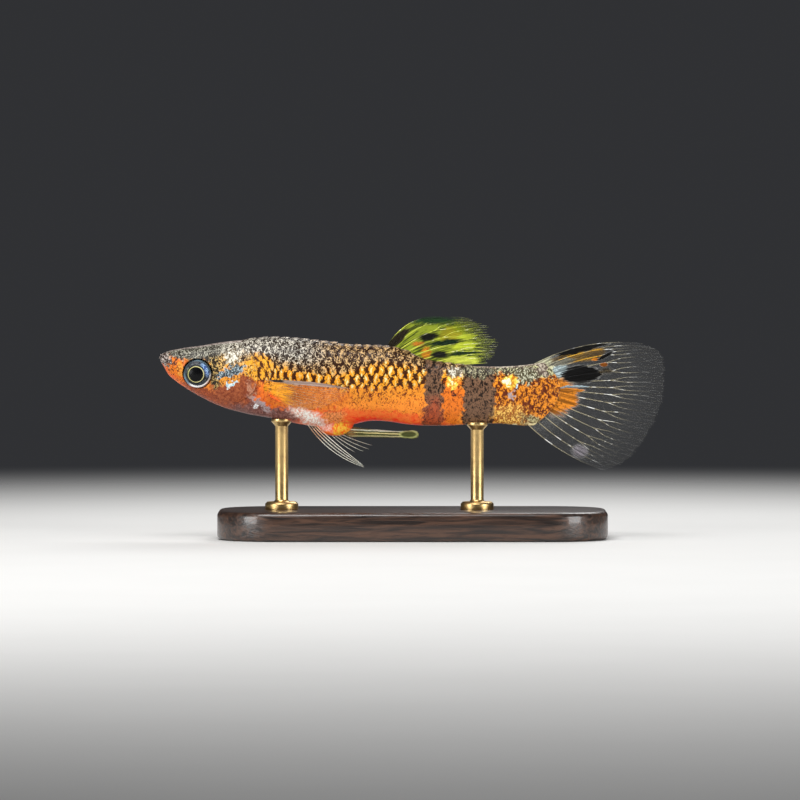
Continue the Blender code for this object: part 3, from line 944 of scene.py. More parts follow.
@dataclass(frozen=True)
class Markings:
    """Where the colours lie on the body. Edges part the zones along its length.

    Ragged and wander are how far the edges stray, finely and coarsely, in millimetres, and
    fine and coarse are the bumps to a millimetre and the detail of the noises behind them.
    """

    ragged: float = 0.95
    fine: Pair = (3.4, 2.0)
    wander: float = 0.5
    coarse: Pair = (1.1, 1.0)
    # Stretch of each noise in the skin, then its bumps to a millimetre, detail and warp
    curls: tuple[Row, Row] = ((1.15, 1.0, 0.8), (4.7, 1.5, 1.1))
    grain: tuple[Row, Row] = ((1.1, 1.0, 0.9), (8.0, 1.0, 0.8))
    worms: tuple[Row, Row] = ((1.25, 1.0, 0.8), (2.9, 1.0, 1.6))
    # How strongly each sways the mix: curls by the glint level, worms from dark places to light
    # ones
    curl_sway: Row = (0.2, 0.9, 5.5, 8.0)
    grain_sway: float = 2.5
    worm_sway: Row = (0.4, 0.5, 1.9, -1.3)
    worm_slimness: Row = (0.4, 0.5, 0.8, 1.2)
    worm_edge: Pair = (0.015, 0.055)

    # Where zones begin and end along the body
    stalk: Pair = (22.8, 23.4)
    flank_top: Pair = (10.0, 13.0)
    keel: tuple[Pair, Pair] = ((12.8, 14.0), (18.5, 20.5))
    grey_back: Pair = (9.5, 12.5)
    head_top: Pair = (3.6, 5.6)
    back_edge: tuple[Pair, ...] = (
        (0.0, -0.20),
        (3.0, -0.20),
        (5.0, -0.25),
        (7.0, -0.30),
        (9.0, -0.75),
        (12.5, -0.90),
        (16.0, -0.30),
        (18.2, -0.70),
        (23.2, -1.10),
        (25.0, -1.40),
        (29.0, -1.20),
    )
    gold_edge: tuple[Pair, ...] = (
        (0.0, -1.6),
        (8.0, -1.7),
        (12.0, -2.1),
        (16.0, -2.15),
        (18.0, -1.95),
        (29.0, -1.5),
    )
    belly_edge: tuple[Pair, ...] = (
        (0.0, -3.2),
        (8.0, -3.6),
        (12.0, -3.5),
        (17.0, -3.9),
        (19.0, -4.3),
        (22.0, -4.9),
        (29.0, -5.4),
    )
    marks: tuple[Mark, ...] = (
        Mark(6.3, -3.55, 3.7, 0.72, THROAT, -11),
        Mark(8.1, -2.75, 1.7, 0.75, RUDDY, -8),
        Mark(10.3, -2.75, 2.9, 0.85, PLAIN, -3),
        Mark(1.45, -1.35, 1.15, 1.15, CHEEK),
        Mark(1.05, -0.55, 0.60, 0.62, CHEEK_SPECKS),
        Mark(0.30, -0.15, 0.46, 0.48, SNOUT),
        Mark(1.50, -0.90, 0.22, 0.5, CHEEK_GOLD, 10),
        Mark(3.0, -2.75, 2.2, 0.60, CHEEK_LOW, -24),
        Mark(1.05, -1.75, 1.9, 0.30, JAW, -48),
        Mark(5.15, -2.15, 1.65, 1.15, GILL),
        Mark(4.8, -1.45, 0.95, 0.50, GILL_ORANGE, 14),
        Mark(6.85, -0.72, 1.0, 0.86, GOLD_PATCH, -8),
        Mark(4.25, -0.40, 0.60, 0.36, TAN, 20),
        Mark(5.06, -0.03, 0.60, 0.46, CREAM, 24),
        Mark(3.90, -1.00, 0.38, 1.1, DARK),
        Mark(4.42, -1.22, 0.40, 0.20, SILVER, 30),
        Mark(5.15, -0.94, 0.90, 0.34, SILVER, 16),
        Mark(5.0, -1.86, 0.42, 0.13, CYAN, 22),
        Mark(6.30, -2.25, 0.24, 0.60, EDGE, 8),
        Mark(6.95, -3.25, 0.80, 0.20, PALE, -32, 0.7),
        Mark(6.65, -3.42, 0.17, 0.06, GLINT, -30),
        Mark(10.4, -4.22, 1.45, 0.42, VENT, -28, 0.5),
        Mark(12.1, -4.15, 0.75, 0.48, VENT_BROWN, 0, 0.3),
        Mark(12.5, -5.02, 0.56, 0.46, VENT_ORANGE),
        Mark(18.93, -2.4, 0.66, 6.0, BAR, 0, 0.14),
        Mark(18.95, -4.2, 0.66, 1.15, BAR_LOW, 0, 0.7),
        Mark(20.25, -2.95, 0.70, 1.80, PATCH, 0, 0.08),
        Mark(20.25, -2.45, 0.09, 0.28, NOTCH),
        Mark(20.4, -1.02, 0.56, 0.36, CREAM),
        Mark(20.25, -1.75, 0.40, 0.50, SPOT),
        Mark(20.22, -1.80, 0.20, 0.30, SPOT_GLINT),
        Mark(22.04, -2.4, 1.12, 6.5, BAR, 0, 0.08),
        Mark(22.04, -0.95, 1.15, 0.52, BAR_TOP),
        Mark(24.3, -4.05, 1.15, 0.80, STALK_LOW, -6, 0.35),
        Mark(26.1, -4.55, 1.1, 0.36, STALK_END, -24, 0.4),
        Mark(25.3, -1.35, 0.95, 0.55, PALE_GREEN, 8),
        Mark(24.15, -1.72, 0.68, 0.38, SPOT, 6),
        Mark(24.05, -1.80, 0.30, 0.22, SPOT_GLINT),
        Mark(24.75, -2.02, 0.16, 0.14, CYAN),
        Mark(24.38, -2.66, 0.17, 0.32, PALE),
        Mark(25.3, -4.85, 2.2, 0.16, UNDERLINE, 4),
    )

    def tiers(self, x: Array, z: Array) -> Array:
        """How far each place is above the lower edge of back, gold and flank zones."""
        edges = (self.back_edge, self.gold_edge, self.belly_edge)
        return stacked(*(z - through(edge, 1, x) for edge in edges))

    def paint(self, tree: Tree, lie: Vec, tiers: Vec) -> tuple[Vec, Vec, Vec]:
        """Lays the zones and marks over one another.

        Args:
            tree: the material's nodes.
            lie: place along and up the fish, and nearness to its crest.
            tiers: heights over the zones' edges.

        Returns:
            The dark colour, the light colour and the feel of each place.
        """
        fine = tree.stir(tree.spot(), *self.fine) * ((self.ragged,) * 3)
        push = fine + tree.stir(tree.spot(), *self.coarse) * ((self.wander,) * 3)
        at = lie + push * (1.0, 1.0, 0.0)
        back, gold, flank = (tiers + push).parts()
        along, _, crest = at.parts()
        stalk = along.rise(*self.stalk)
        keel = along.rise(*self.keel[0]) * along.fall(*self.keel[1])
        layers = (
            (KEEL, flank.fall(-0.8, -0.4) * keel),
            (FLANK, flank.rise(-0.25, 0.25)),
            (FLANK_TOP, gold.rise(-1.3, -0.4) * along.rise(*self.flank_top)),
            (GOLD, gold.rise(-0.25, 0.15)),
            (STALK, stalk),
            (BACK_BROWN, back.rise(-0.35, 0.1) * (1 - stalk)),
            (BACK, back.rise(0.1, 0.8) * along.fall(*self.grey_back)),
            (HEAD_TOP, back.rise(-0.1, 0.1) * along.fall(*self.head_top)),
            (STALK_TOP, back.rise(-0.15, 0.15) * stalk),
            # Painted highlight along the crest
            (CREST_HIGHLIGHT, crest.rise(0.3, 0.8) * 0.7),
        )
        laid = (BELLY.dark, BELLY.light, BELLY.feel)
        for tone, share in layers:
            laid = self._over(tree, laid, tone, share)
        for mark in self.marks:
            out = at.within(mark.x, mark.z, mark.long, mark.tall, mark.turn)
            laid = self._over(tree, laid, mark.tone, out.fall(1 - mark.soft, 1 + mark.soft))
        return laid

    def _over(self, tree: Tree, laid: Sequence[Any], tone: Tone, share: Num) -> tuple[Vec, ...]:
        """Lays one tone over what is there already."""
        tops = (tone.dark, tone.light, tone.feel)
        return tuple(tree.mix(below, above, share) for below, above in zip(laid, tops))

    def mingle(
        self, tree: Tree, lie: Vec, tiers: Vec, pull: Any = 0.0, lines: Any = 0.0
    ) -> tuple[Vec, Num, Num]:
        """Mingles the dark and the light colour in fine curls.

        Args:
            tree: the material's nodes.
            lie: place along and up the fish, and nearness to its crest.
            tiers: heights over the zones' edges.
            pull: how strongly a place draws the light colour where painted glints lie.
            lines: how strongly it does so anywhere.

        Returns:
            The colour, the glint level and the curls.
        """
        dark, light, feel = self.paint(tree, lie, tiers)
        level, contrast, glint_level = feel.parts()
        spot = tree.spot()
        noises = (self.curls, self.grain, self.worms)
        curls, grain, worms = (tree.noise(spot * stretch, *look) for stretch, look in noises)
        # Worm-like lines, pale and broad where dark prevails, else dark and thin
        slim = abs(worms - 0.5) * level.ranged(*self.worm_slimness)
        sway = (curls - 0.5) * glint_level.ranged(*self.curl_sway) + (grain - 0.5) * self.grain_sway
        sway = sway + (slim.fall(*self.worm_edge) - 0.4) * level.ranged(*self.worm_sway)
        sway = sway + glint_level.rise(0.0, 0.6) * pull + lines
        share = (sway * contrast + level).rise(0.0, 1.0)
        return tree.mix(dark, light, share), glint_level, curls


MARKINGS = Markings()


@dataclass(frozen=True)
class SkinFinish:
    """Bare skin: fine dark and light curls, wet but dull along the crest, the mouth drawn in
    painted shade.
    """

    # Colour of the painted glints: bright flecks where the tone's glint level is high
    glint_fleck: Colour = rgb(255, 226, 150)
    fleck_noise: Row = (7.0, 1.0, 1.0)
    fleck_edge: Pair = (0.58, 0.64)
    # Colour of the painted shade in creases and along the eye sockets' rims
    crease_shade: Colour = rgb(40, 22, 18)
    roughness: Pair = (0.45, 0.75)
    wet: float = 0.05
    relief: float = 0.03

    def material(self) -> Material:
        """Builds the finish.

        Returns:
            The material.
        """
        tree = Tree("skin")
        lie, tiers = tree.attribute("lie"), tree.attribute("tiers")
        colour, glint_level, curls = MARKINGS.mingle(tree, lie, tiers)
        # Painted glints: bright flecks, as many as the glint level allows
        glint_flecks = tree.noise(tree.spot(), *self.fleck_noise).rise(*self.fleck_edge)
        colour = tree.mix(colour, self.glint_fleck, glint_flecks * glint_level)
        # Painted shade in the mouth's slit, the lip's fold, the nostril pits and round the eye
        # sockets
        colour = tree.mix(colour, self.crease_shade, tree.attribute("crease_shade").parts()[0])
        crest = lie.parts()[2]
        return tree.dress(
            Base_Color=colour,
            Roughness=between(*self.roughness, crest),
            Specular_IOR_Level=0.2,
            Coat_Weight=self.wet - crest * self.wet,
            Coat_Roughness=0.2,
            Normal=tree.bump(curls, self.relief),
        )


@dataclass(frozen=True)
class ScaleFinish:
    """Scale plates: a bright pane in a dark net, with the skin's own markings and a painted glint.
    """

    # Colours of the painted glint on the plates
    glint_colours: tuple[Colour, Colour] = (rgb(255, 212, 96), rgb(255, 252, 200))
    # Half widths of the lens-like pane, from the plain rows to the gold ones
    panes: Pair = (0.36, 0.28)
    pane_length: float = 3.8
    pane_pull: Row = (0.1, 1.1, 0.9, -1.7)
    fray: Row = (0.46, 0.6, 0.0)
    fray_noise: Pair = (3.0, 3.0)
    net: float = -1.1
    net_edge: Pair = (0.70, 1.10)
    # Middle and half width of the painted glint's streak, and how strongly its ends and curls cut
    # it
    streak: Pair = (-0.03, 0.10)
    streak_ends: float = 5.0
    streak_curls: float = 4.0
    roughness: Pair = (0.42, 0.75)
    wet: float = 0.06
    relief: float = 0.03

    def material(self) -> Material:
        """Builds the finish.

        Returns:
            The material.
        """
        tree = Tree("scales")
        lie, tiers = tree.attribute("lie"), tree.attribute("tiers")
        _, gold, flank = tiers.parts()
        a, b, chance = tree.attribute("plate").parts()
        stir = tree.stir(tree.spot(), *self.fray_noise) * self.fray
        a, b, _ = (tree.pair(a, b) + stir).parts()
        out = abs(a) / gold.ranged(-0.6, 0.2, *self.panes) + (b * b * self.pane_length) ** 2
        pull = out.ranged(*self.pane_pull)
        netted = gold.rise(-1.6, -0.4) * flank.rise(-0.2, 0.6)
        lines = out.rise(*self.net_edge) * netted * self.net
        colour, glint_level, curls = MARKINGS.mingle(tree, lie, tiers, pull, lines)
        # A painted glint: a bright streak down each plate, where the skin glints most
        middle, half = self.streak
        streak = abs(a - middle) / half + b * b * self.streak_ends
        streak = streak + (curls - 0.5) * self.streak_curls
        glint_strength = (glint_level * 1.6 - 0.6).most(0.0)
        bright = streak.fall(0.5, 1.0) * glint_strength * chance.ranged(0.0, 0.7, 0.4, 1.0)
        colour = tree.mix(colour, tree.mix(*self.glint_colours, streak.fall(-0.1, 0.6)), bright)
        crest = lie.parts()[2]
        return tree.dress(
            Base_Color=colour,
            Roughness=between(*self.roughness, crest) - glint_level * 0.1,
            Metallic=bright * 0.15,
            Specular_IOR_Level=0.2,
            Coat_Weight=self.wet - crest * self.wet,
            Coat_Roughness=0.2,
            Normal=tree.bump(curls - out * 0.3, self.relief),
        )


@dataclass(frozen=True)
class Skin:
    """One skin over head, trunk and tail stalk."""

    sides: int = 144
    head_rings: int = 130
    trunk_rings: int = 120
    head_power: float = 1.35
    first_ring: float = 0.015
    shoulder_gap: float = 0.04
    nose_tip: Row = (0.0, 0.0, -0.05)
    mouth: tuple[Pair, ...] = ((-0.05, 0.10), (0.30, -0.10), (0.55, -0.36))
    maxilla: tuple[Pair, ...] = ((0.48, -0.16), (0.66, -0.42), (0.62, -0.72))
    # Height and breadth of the lips, depth and breadth of the mouth's slit and the lip's fold
    lips: Row = (0.045, 0.11, 0.06)
    slit: Pair = (0.09, 0.035)
    fold: Pair = (0.04, 0.04)
    # Breadth of the painted shade that each crease draws, and how dark the fold's is
    slit_shade: float = 0.03
    fold_shade: Pair = (0.035, 0.55)
    nostrils: tuple[Row, ...] = ((1.48, 0.10, 0.09), (1.95, 0.16, 0.07))
    # Height of a nostril's rim, where it lies in radii, and its breadth, then the hole's depth
    nostril: Row = (0.035, 1.3, 0.5, 0.07)
    # Middle of the vent's lobe, its half length and half width, and how deep it hangs
    lobe: Row = (12.15, -4.72, 1.25, 0.62, 0.78)
    lobe_top: float = -3.6
    rim: float = 1.045
    rim_pull: float = 0.13
    rim_raise: Row = (0.05, 0.04, 0.09)
    socket_floor: float = 0.75
    # The eye's hollow stays off the snout, which is narrower than this
    beside: float = 0.35
    crest: Pair = (0.86, 1.0)

    def stations(self) -> Array:
        """Places the rings: crowded at the snout, with a step at the gill cover.

        Returns:
            Their distances from the snout.
        """
        edge = BODY.opercle_ring
        share = np.linspace(0.0, 1.0, self.head_rings) ** self.head_power
        trunk = np.linspace(edge + self.shoulder_gap, BODY.tail_ring, self.trunk_rings)
        return np.concatenate([between(self.first_ring, edge, share), trunk])

    def _to_line(self, x: Array, z: Array, line: Sequence[Pair]) -> Array:
        """Measures how far places in side view are from a bent line.

        Args:
            x, z: the places.
            line: its corners.

        Returns:
            The distances.
        """
        best = np.full(x.shape, np.inf)
        for (x0, z0), (x1, z1) in zip(line, line[1:]):
            dx, dz = x1 - x0, z1 - z0
            t = np.clip(((x - x0) * dx + (z - z0) * dz) / (dx * dx + dz * dz), 0.0, 1.0)
            best = np.minimum(best, np.hypot(x - x0 - t * dx, z - z0 - t * dz))
        return best

    def relief(self, grid: Array) -> tuple[Array, Array]:
        """Models mouth, lips and nostrils.

        Args:
            grid: points of the body.

        Returns:
            How far each stands out, and how much painted shade its crease gets.
        """
        x, z = grid[..., 0], grid[..., 2]
        mouth, fold = self._to_line(x, z, self.mouth), self._to_line(x, z, self.maxilla)
        high, middle, broad = self.lips
        out = high * bell((mouth - middle) / broad) - self.slit[0] * bell(mouth / self.slit[1])
        out -= self.fold[0] * bell(fold / self.fold[1])
        broad, dark = self.fold_shade
        # Painted shade along the mouth's slit and the lip's fold
        crease_shade = bell(mouth / self.slit_shade) + dark * bell(fold / broad)
        high, middle, broad, deep = self.nostril
        for at_x, at_z, radius in self.nostrils:
            away = np.hypot(x - at_x, z - at_z) / radius
            out += high * bell((away - middle) / broad) - deep * bell(away)
            # Painted shade in the nostril pit
            crease_shade += 0.8 * bell(away * 1.3)
        return out, np.clip(crease_shade, 0.0, 1.0)

    def socket(self, grid: Array) -> tuple[Array, Array]:
        """Sinks the eye sockets. Points near the rim are drawn to it, so that it is round.

        Args:
            grid: points of the skin.

        Returns:
            The points with their sockets, and how much painted shade lies along the rim at each.
        """
        x, depth, z = grid[..., 0], np.abs(grid[..., 1]), grid[..., 2]
        dx, dz = x - EYE[0], z - EYE[1]
        far = np.hypot(dx, dz)
        gap = far - self.rim
        flanks = depth > self.beside
        inside = (gap < 0) & flanks
        pulled = self.rim + gap * smooth(0.0, self.rim_pull, np.abs(gap))
        scale = np.where((far < self.rim * 1.4) & flanks, pulled / np.maximum(far, 1e-6), 1.0)
        high, off, broad = self.rim_raise
        raised = depth + high * bell((gap - off) / broad) * (~inside) * flanks
        y = np.sign(grid[..., 1]) * np.where(inside, np.minimum(depth, self.socket_floor), raised)
        # Painted shade along the socket's rim
        shade = np.where(flanks, bell(gap / 0.05), 0.0)
        return stacked(EYE[0] + dx * scale, y, EYE[1] + dz * scale), shade

    def vent(self, grid: Array) -> Array:
        """Lets the vent's lobe hang from the belly.

        Args:
            grid: points of the skin.

        Returns:
            The points with the lobe.
        """
        x, y, z = np.moveaxis(grid, -1, 0)
        at_x, at_z, long, wide, deep = self.lobe
        inside = 1 - ((x - at_x) / long) ** 2 - (y / wide) ** 2
        hang = at_z - deep * np.sqrt(np.clip(inside, 0.0, None))
        under = (inside > 0) & (z < self.lobe_top)
        return stacked(x, y, np.where(under, np.minimum(z, hang), z))

    def shaped(self, angles: Array) -> tuple[Array, Array]:
        """Shapes the skin ring by ring.

        Args:
            angles: of the points round a ring.

        Returns:
            The points, a row for each ring, and how much painted shade each gets in its crease.
        """
        grid = BODY.surface(self.stations()[:, None], angles[None, :])
        around = np.roll(grid, -1, axis=1) - np.roll(grid, 1, axis=1)
        normals = unit(np.cross(around, np.gradient(grid, axis=0)))
        out, crease_shade = self.relief(grid)
        grid, shade = self.socket(self.vent(grid + normals * out[..., None]))
        return grid, np.clip(crease_shade + 0.5 * shade, 0.0, 1.0)

    def build(self) -> None:
        """Models the skin from a sphere whose rings are moved onto the body."""
        angles = np.linspace(0.0, math.tau, self.sides, endpoint=False)
        grid, crease_shade = self.shaped(angles)
        poles = len(grid) + 1
        ball = bpy.ops.mesh.primitive_uv_sphere_add
        obj = added("skin", ball, segments=self.sides, ring_count=poles, radius=1.0)
        x, y, z = mesh_points(obj).T
        ring = np.rint(np.arccos(np.clip(z, -1, 1)) / math.pi * poles).astype(int)
        column = np.rint(np.arctan2(y, x) / math.tau * self.sides).astype(int) % self.sides
        row = np.clip(ring - 1, 0, len(grid) - 1)
        points = grid[row, column]
        points[ring == 0] = self.nose_tip
        points[ring == poles] = grid[-1].mean(axis=0)
        reshaped(obj, points)
        x, _, z = points.T
        crest = smooth(*self.crest, np.sin(angles[column]))
        write_vectors(obj, "lie", stacked(x, z, crest))
        write_vectors(obj, "tiers", MARKINGS.tiers(x, z))
        write_vectors(obj, "crease_shade", stacked(crease_shade[row, column], 0.0, 0.0))
        put_on(obj, SkinFinish().material(), Slot.SKIN, "head", "torso", "tail")


@dataclass(frozen=True)
class Chart:
    """The trunk's surface by station and by distance round it from the flank."""

    stations: Array
    ruler: Array
    angles: Array

    @classmethod
    def drawn(
        cls, columns: int = 260, turns: int = 720, reach: float = 8.5, marks: int = 681
    ) -> Chart:
        """Measures round the body at many stations.

        Args:
            columns: how many stations.
            turns: steps round the body at each.
            reach: how far round from the flank the chart goes.
            marks: how many distances it is read at.

        Returns:
            The chart.
        """
        stations = np.linspace(BODY.opercle_ring + 0.02, BODY.tail_ring, columns)
        angles = np.linspace(-math.pi, math.pi, turns + 1)
        grid = BODY.surface(stations[:, None], angles[None, :])
        steps = np.linalg.norm(np.diff(grid, axis=1), axis=2)
        arcs = np.concatenate([np.zeros((columns, 1)), np.cumsum(steps, axis=1)], axis=1)
        arcs -= arcs[:, turns // 2, None]
        ruler = np.linspace(-reach, reach, marks)
        return cls(stations, ruler, np.stack([np.interp(ruler, arc, angles) for arc in arcs]))

    def at(self, ring: Array, arc: Array) -> Array:
        """Looks up points of the surface.

        Args:
            ring: their stations.
            arc: their distances round from the flank.

        Returns:
            The points.
        """
        (i, fi), (j, fj) = self._step(self.stations, ring), self._step(self.ruler, arc)
        near = between(self.angles[i, j], self.angles[i, j + 1], fj)
        far = between(self.angles[i + 1, j], self.angles[i + 1, j + 1], fj)
        return BODY.surface(ring, between(near, far, fi))

    def _step(self, marks: Array, value: Array) -> tuple[Array, Array]:
        """Finds which even marks values lie between.

        Args:
            marks: rising evenly.
            value: what to look up.

        Returns:
            The index of the mark before each, and the share of the way to the next.
        """
        place = np.clip((value - marks[0]) / (marks[1] - marks[0]), 0, len(marks) - 1.001)
        index = place.astype(int)
        return index, place - index


@dataclass(frozen=True)
class Seat:
    """Where a scale grows: station, distance round from the flank, place, and how far out."""

    ring: float
    arc: float
    root: Array
    out: float


@dataclass(frozen=True)
class Scales:
    """Overlapping plates in rows over trunk and stalk."""

    pitch: float = 0.665
    row_gap: float = 0.64
    first: float = 6.15
    last: float = 27.4
    rows: tuple[int, int] = (-5, 9)
    below_flank: float = 0.35
    long: float = 0.56
    wide: float = 0.46
    thick: float = 0.03
    cells: int = 4
    crowding: float = 1.6
    # A plate's outline: how pointed its free end is, how pinched and how short its root
    pointed: float = 0.93
    pinched: float = 0.12
    root_share: float = 0.95
    sunk: float = 0.03
    swell: float = 0.02
    # The free edge's lift, less of it at the stalk's end and more on the crest
    lift: float = 0.055
    end_lift: Row = (25.5, 27.2, 0.6)
    crest_lift: Row = (0.95, 0.25, 1.1)
    # How far sizes and lifts stray from plate to plate
    sizes: float = 0.05
    lifts: float = 0.012
    shown: float = 0.22
    blend: float = 0.8
    crest: Row = (0.05, 0.5, -1.5)
    nudge: float = 0.02
    seed: int = 7
    # Sizes of a plate and of the whole sheet in the map for baking
    patch: float = 0.003
    sheet: float = 40.0

    def seats(self, chart: Chart) -> Iterator[Seat]:
        """Finds where plates grow, down to the belly's edge.

        Args:
            chart: the trunk's surface.

        Yields:
            Each seat on one flank.
        """
        lowest = MARKINGS.belly_edge[2][1] - self.below_flank
        for column in range(int((self.last - self.first) / self.pitch) + 1):
            for row in range(*self.rows):
                ring = self.first + (column + 0.5 * (row % 2)) * self.pitch
                arc = row * self.row_gap
                arcs = np.array([arc, arc + 0.30 * self.row_gap])
                root, top = chart.at(np.array([ring, ring]), arcs)
                if ring <= self.last and top[1] > 0.02 and root[2] >= lowest:
                    yield Seat(ring, arc, root, top[1])

    def plate(
        self, shape: Array, chart: Chart, seat: Seat, side: Side, draw: np.random.Generator
    ) -> tuple[Array, Array, Array, Array]:
        """Shapes one plate on the body.

        Args:
            shape: points of the plain slab.
            chart: the trunk's surface.
            seat: where it grows.
            side: on which flank.
            draw: source of its own size, chance and lift.

        Returns:
            Its points, then for each its place in the markings, on the plate, and on the map.
        """
        u, v, layer = shape.T
        u = 1 - 2 * ((1 - u) / 2) ** self.crowding
        size = 1 + draw.uniform(-self.sizes, self.sizes)
        chance = draw.uniform()
        tilt = draw.uniform(-self.lifts, self.lifts)
        free, held = np.sqrt(1 - (u * self.pointed) ** 2), 1 - self.pinched * u**2
        a = np.where(u > 0, u, u * self.root_share) * self.long * size
        narrow = np.where(u > 0, free, held)
        b = v * narrow * self.wide * size
        ring, arc = np.clip(seat.ring + a, chart.stations[0], BODY.tail_ring), seat.arc + b
        flat = chart.at(ring, arc)
        behind, above = chart.at(ring + self.nudge, arc), chart.at(ring, arc + self.nudge)
        normal = unit(np.cross(above - flat, behind - flat))
        normal *= np.sign(normal[:, 1].mean() + 1e-9)
        start, stop, less = self.end_lift
        lift = self.lift * (1 - less * smooth(start, stop, seat.ring))
        start, stop, more = self.crest_lift
        lift *= 1 + more * smooth(start, stop, seat.out)
        raised = lift * smooth(-1.0, 0.75, u) + tilt * u - self.sunk
        raised = raised + self.swell * (1 - v**2) + layer * self.thick
        points = (flat + normal * raised[:, None]) * (1, side.value, 1)
        x, y, z = between(seat.root, flat, self.blend).T
        start, stop, level = self.crest
        crest = 1 - smooth(start, stop, np.abs(y)) if seat.root[2] > level else 0.0
        centre = (seat.root[0] / self.sheet, 0.5 + side.value * (seat.arc + 8) / self.sheet)
        own_map = np.array(centre) + stacked(u, v) * self.patch / 2
        return points, stacked(x, z, crest), stacked(a - self.shown, b, chance), own_map

    def build(self) -> None:
        """Lays the plates and joins them."""
        draw = np.random.default_rng(self.seed)
        slab = Template.slab(self.cells, self.cells)
        chart = Chart.drawn()
        plates = [
            self.plate(slab.points, chart, seat, side, draw)
            for seat in self.seats(chart)
            for side in Side
        ]
        copies, *columns = zip(*plates)
        lie, plate, own_map = (np.concatenate(column) for column in columns)
        obj = slab.laid("scales", copies)
        write_vectors(obj, "lie", lie)
        write_vectors(obj, "tiers", MARKINGS.tiers(lie[:, 0], lie[:, 1]))
        write_vectors(obj, "plate", plate)
        write_map(obj, "OFBake", own_map)
        log.info("%d plates", len(copies))
        put_on(obj, ScaleFinish().material(), Slot.SKIN)


@dataclass(frozen=True)
class EyeFinish:
    """Black pupil in a gold ring, slate iris with a blue sheen, pale rim below as a painted
    highlight.

    Each oval has its middle, from the eye's own, half sizes, tilt and where its edge fades.
    """

    pupil: Pair = (-0.10, -0.06)
    pupil_radius: float = 0.475
    ring_radius: float = 0.59
    fuzz: Row = (9.0, 2.0, 0.8)
    slates: tuple[Colour, Colour] = (rgb(34, 38, 44), rgb(92, 98, 104))
    blues: tuple[Colour, Colour] = (rgb(52, 80, 150), rgb(172, 212, 252))
    green: Colour = rgb(160, 172, 96)
    shade: Colour = rgb(24, 28, 32)
    # The pale rim's painted highlight, dim blue-grey above and white-cyan below
    rim_highlights: tuple[Colour, Colour] = (rgb(108, 136, 152), rgb(240, 254, 255, 0.55))
    seam: Colour = rgb(24, 24, 26)
    golds: tuple[Colour, Colour] = (rgb(222, 214, 136), rgb(255, 246, 170))
    black: Colour = rgb(9, 9, 11)
    blue_oval: Row = (0.60, 0.26, 0.66, 0.30, -62, 0.4, 1.2)
    green_oval: Row = (-0.62, 0.02, 0.12, 0.40, 0, 0.5, 1.1)
    highlight_oval: Row = (0.35, -0.70, 1.1, 0.70, 30, 0.7, 1.1)
    fore_oval: Row = (-0.70, 0.60, 0.8, 0.8, 0, 0.5, 1.2)
    gold_oval: Row = (0.20, -0.06, 0.6, 0.9, 0, 0.4, 1.2)

    def _oval(self, at: Vec, x: float, z: float, *shape: float) -> Num:
        """How much of a soft oval lies on a place of the iris."""
        return at.within(EYE[0] + x, EYE[1] + z, *shape[:3]).fall(*shape[3:])

    def material(self) -> Material:
        """Builds the finish.

        Returns:
            The material.
        """
        tree = Tree("eye")
        x, _, z = tree.spot().parts()
        at = tree.pair(x, z)
        far = at.within(*EYE, 1.0, 1.0)
        near = at.within(EYE[0] + self.pupil[0], EYE[1] + self.pupil[1], 1.0, 1.0)
        fuzz = tree.noise(tree.spot(), *self.fuzz)
        colour = tree.mix(*self.slates, fuzz.rise(0.42, 0.62))
        blue = tree.mix(*self.blues, fuzz.rise(0.44, 0.60))
        colour = tree.mix(colour, blue, self._oval(at, *self.blue_oval))
        green = self._oval(at, *self.green_oval) * fuzz.rise(0.35, 0.55)
        colour = tree.mix(colour, self.green, green)
        # A thin pale line round the eye, a painted highlight, broken towards the snout, brightest
        # below
        colour = tree.mix(colour, self.shade, far.rise(0.74, 0.83) * 0.7)
        line = far.rise(0.82, 0.87) * (1 - self._oval(at, *self.fore_oval) * 0.85)
        rim = tree.mix(*self.rim_highlights, self._oval(at, *self.highlight_oval))
        colour = tree.mix(colour, rim, line)
        # The ring round the pupil, pale yellow, thin, edged with dark
        around = near.fall(self.ring_radius + 0.04, self.ring_radius + 0.12)
        colour = tree.mix(colour, self.seam, around * 0.8)
        ring = near.rise(self.pupil_radius + 0.03, self.pupil_radius + 0.055)
        ring = ring * near.fall(self.ring_radius - 0.05, self.ring_radius - 0.015)
        gold = tree.mix(*self.golds, self._oval(at, *self.gold_oval))
        colour = tree.mix(colour, gold, ring)
        hole = near.fall(self.pupil_radius - 0.01, self.pupil_radius + 0.02)
        return tree.dress(
            Base_Color=tree.mix(colour, self.black, hole),
            Roughness=0.3,
            Specular_IOR_Level=0.12,
            Coat_Weight=0.04,
            Coat_Roughness=0.1,
            Normal=tree.bump(fuzz, 0.004),
        )


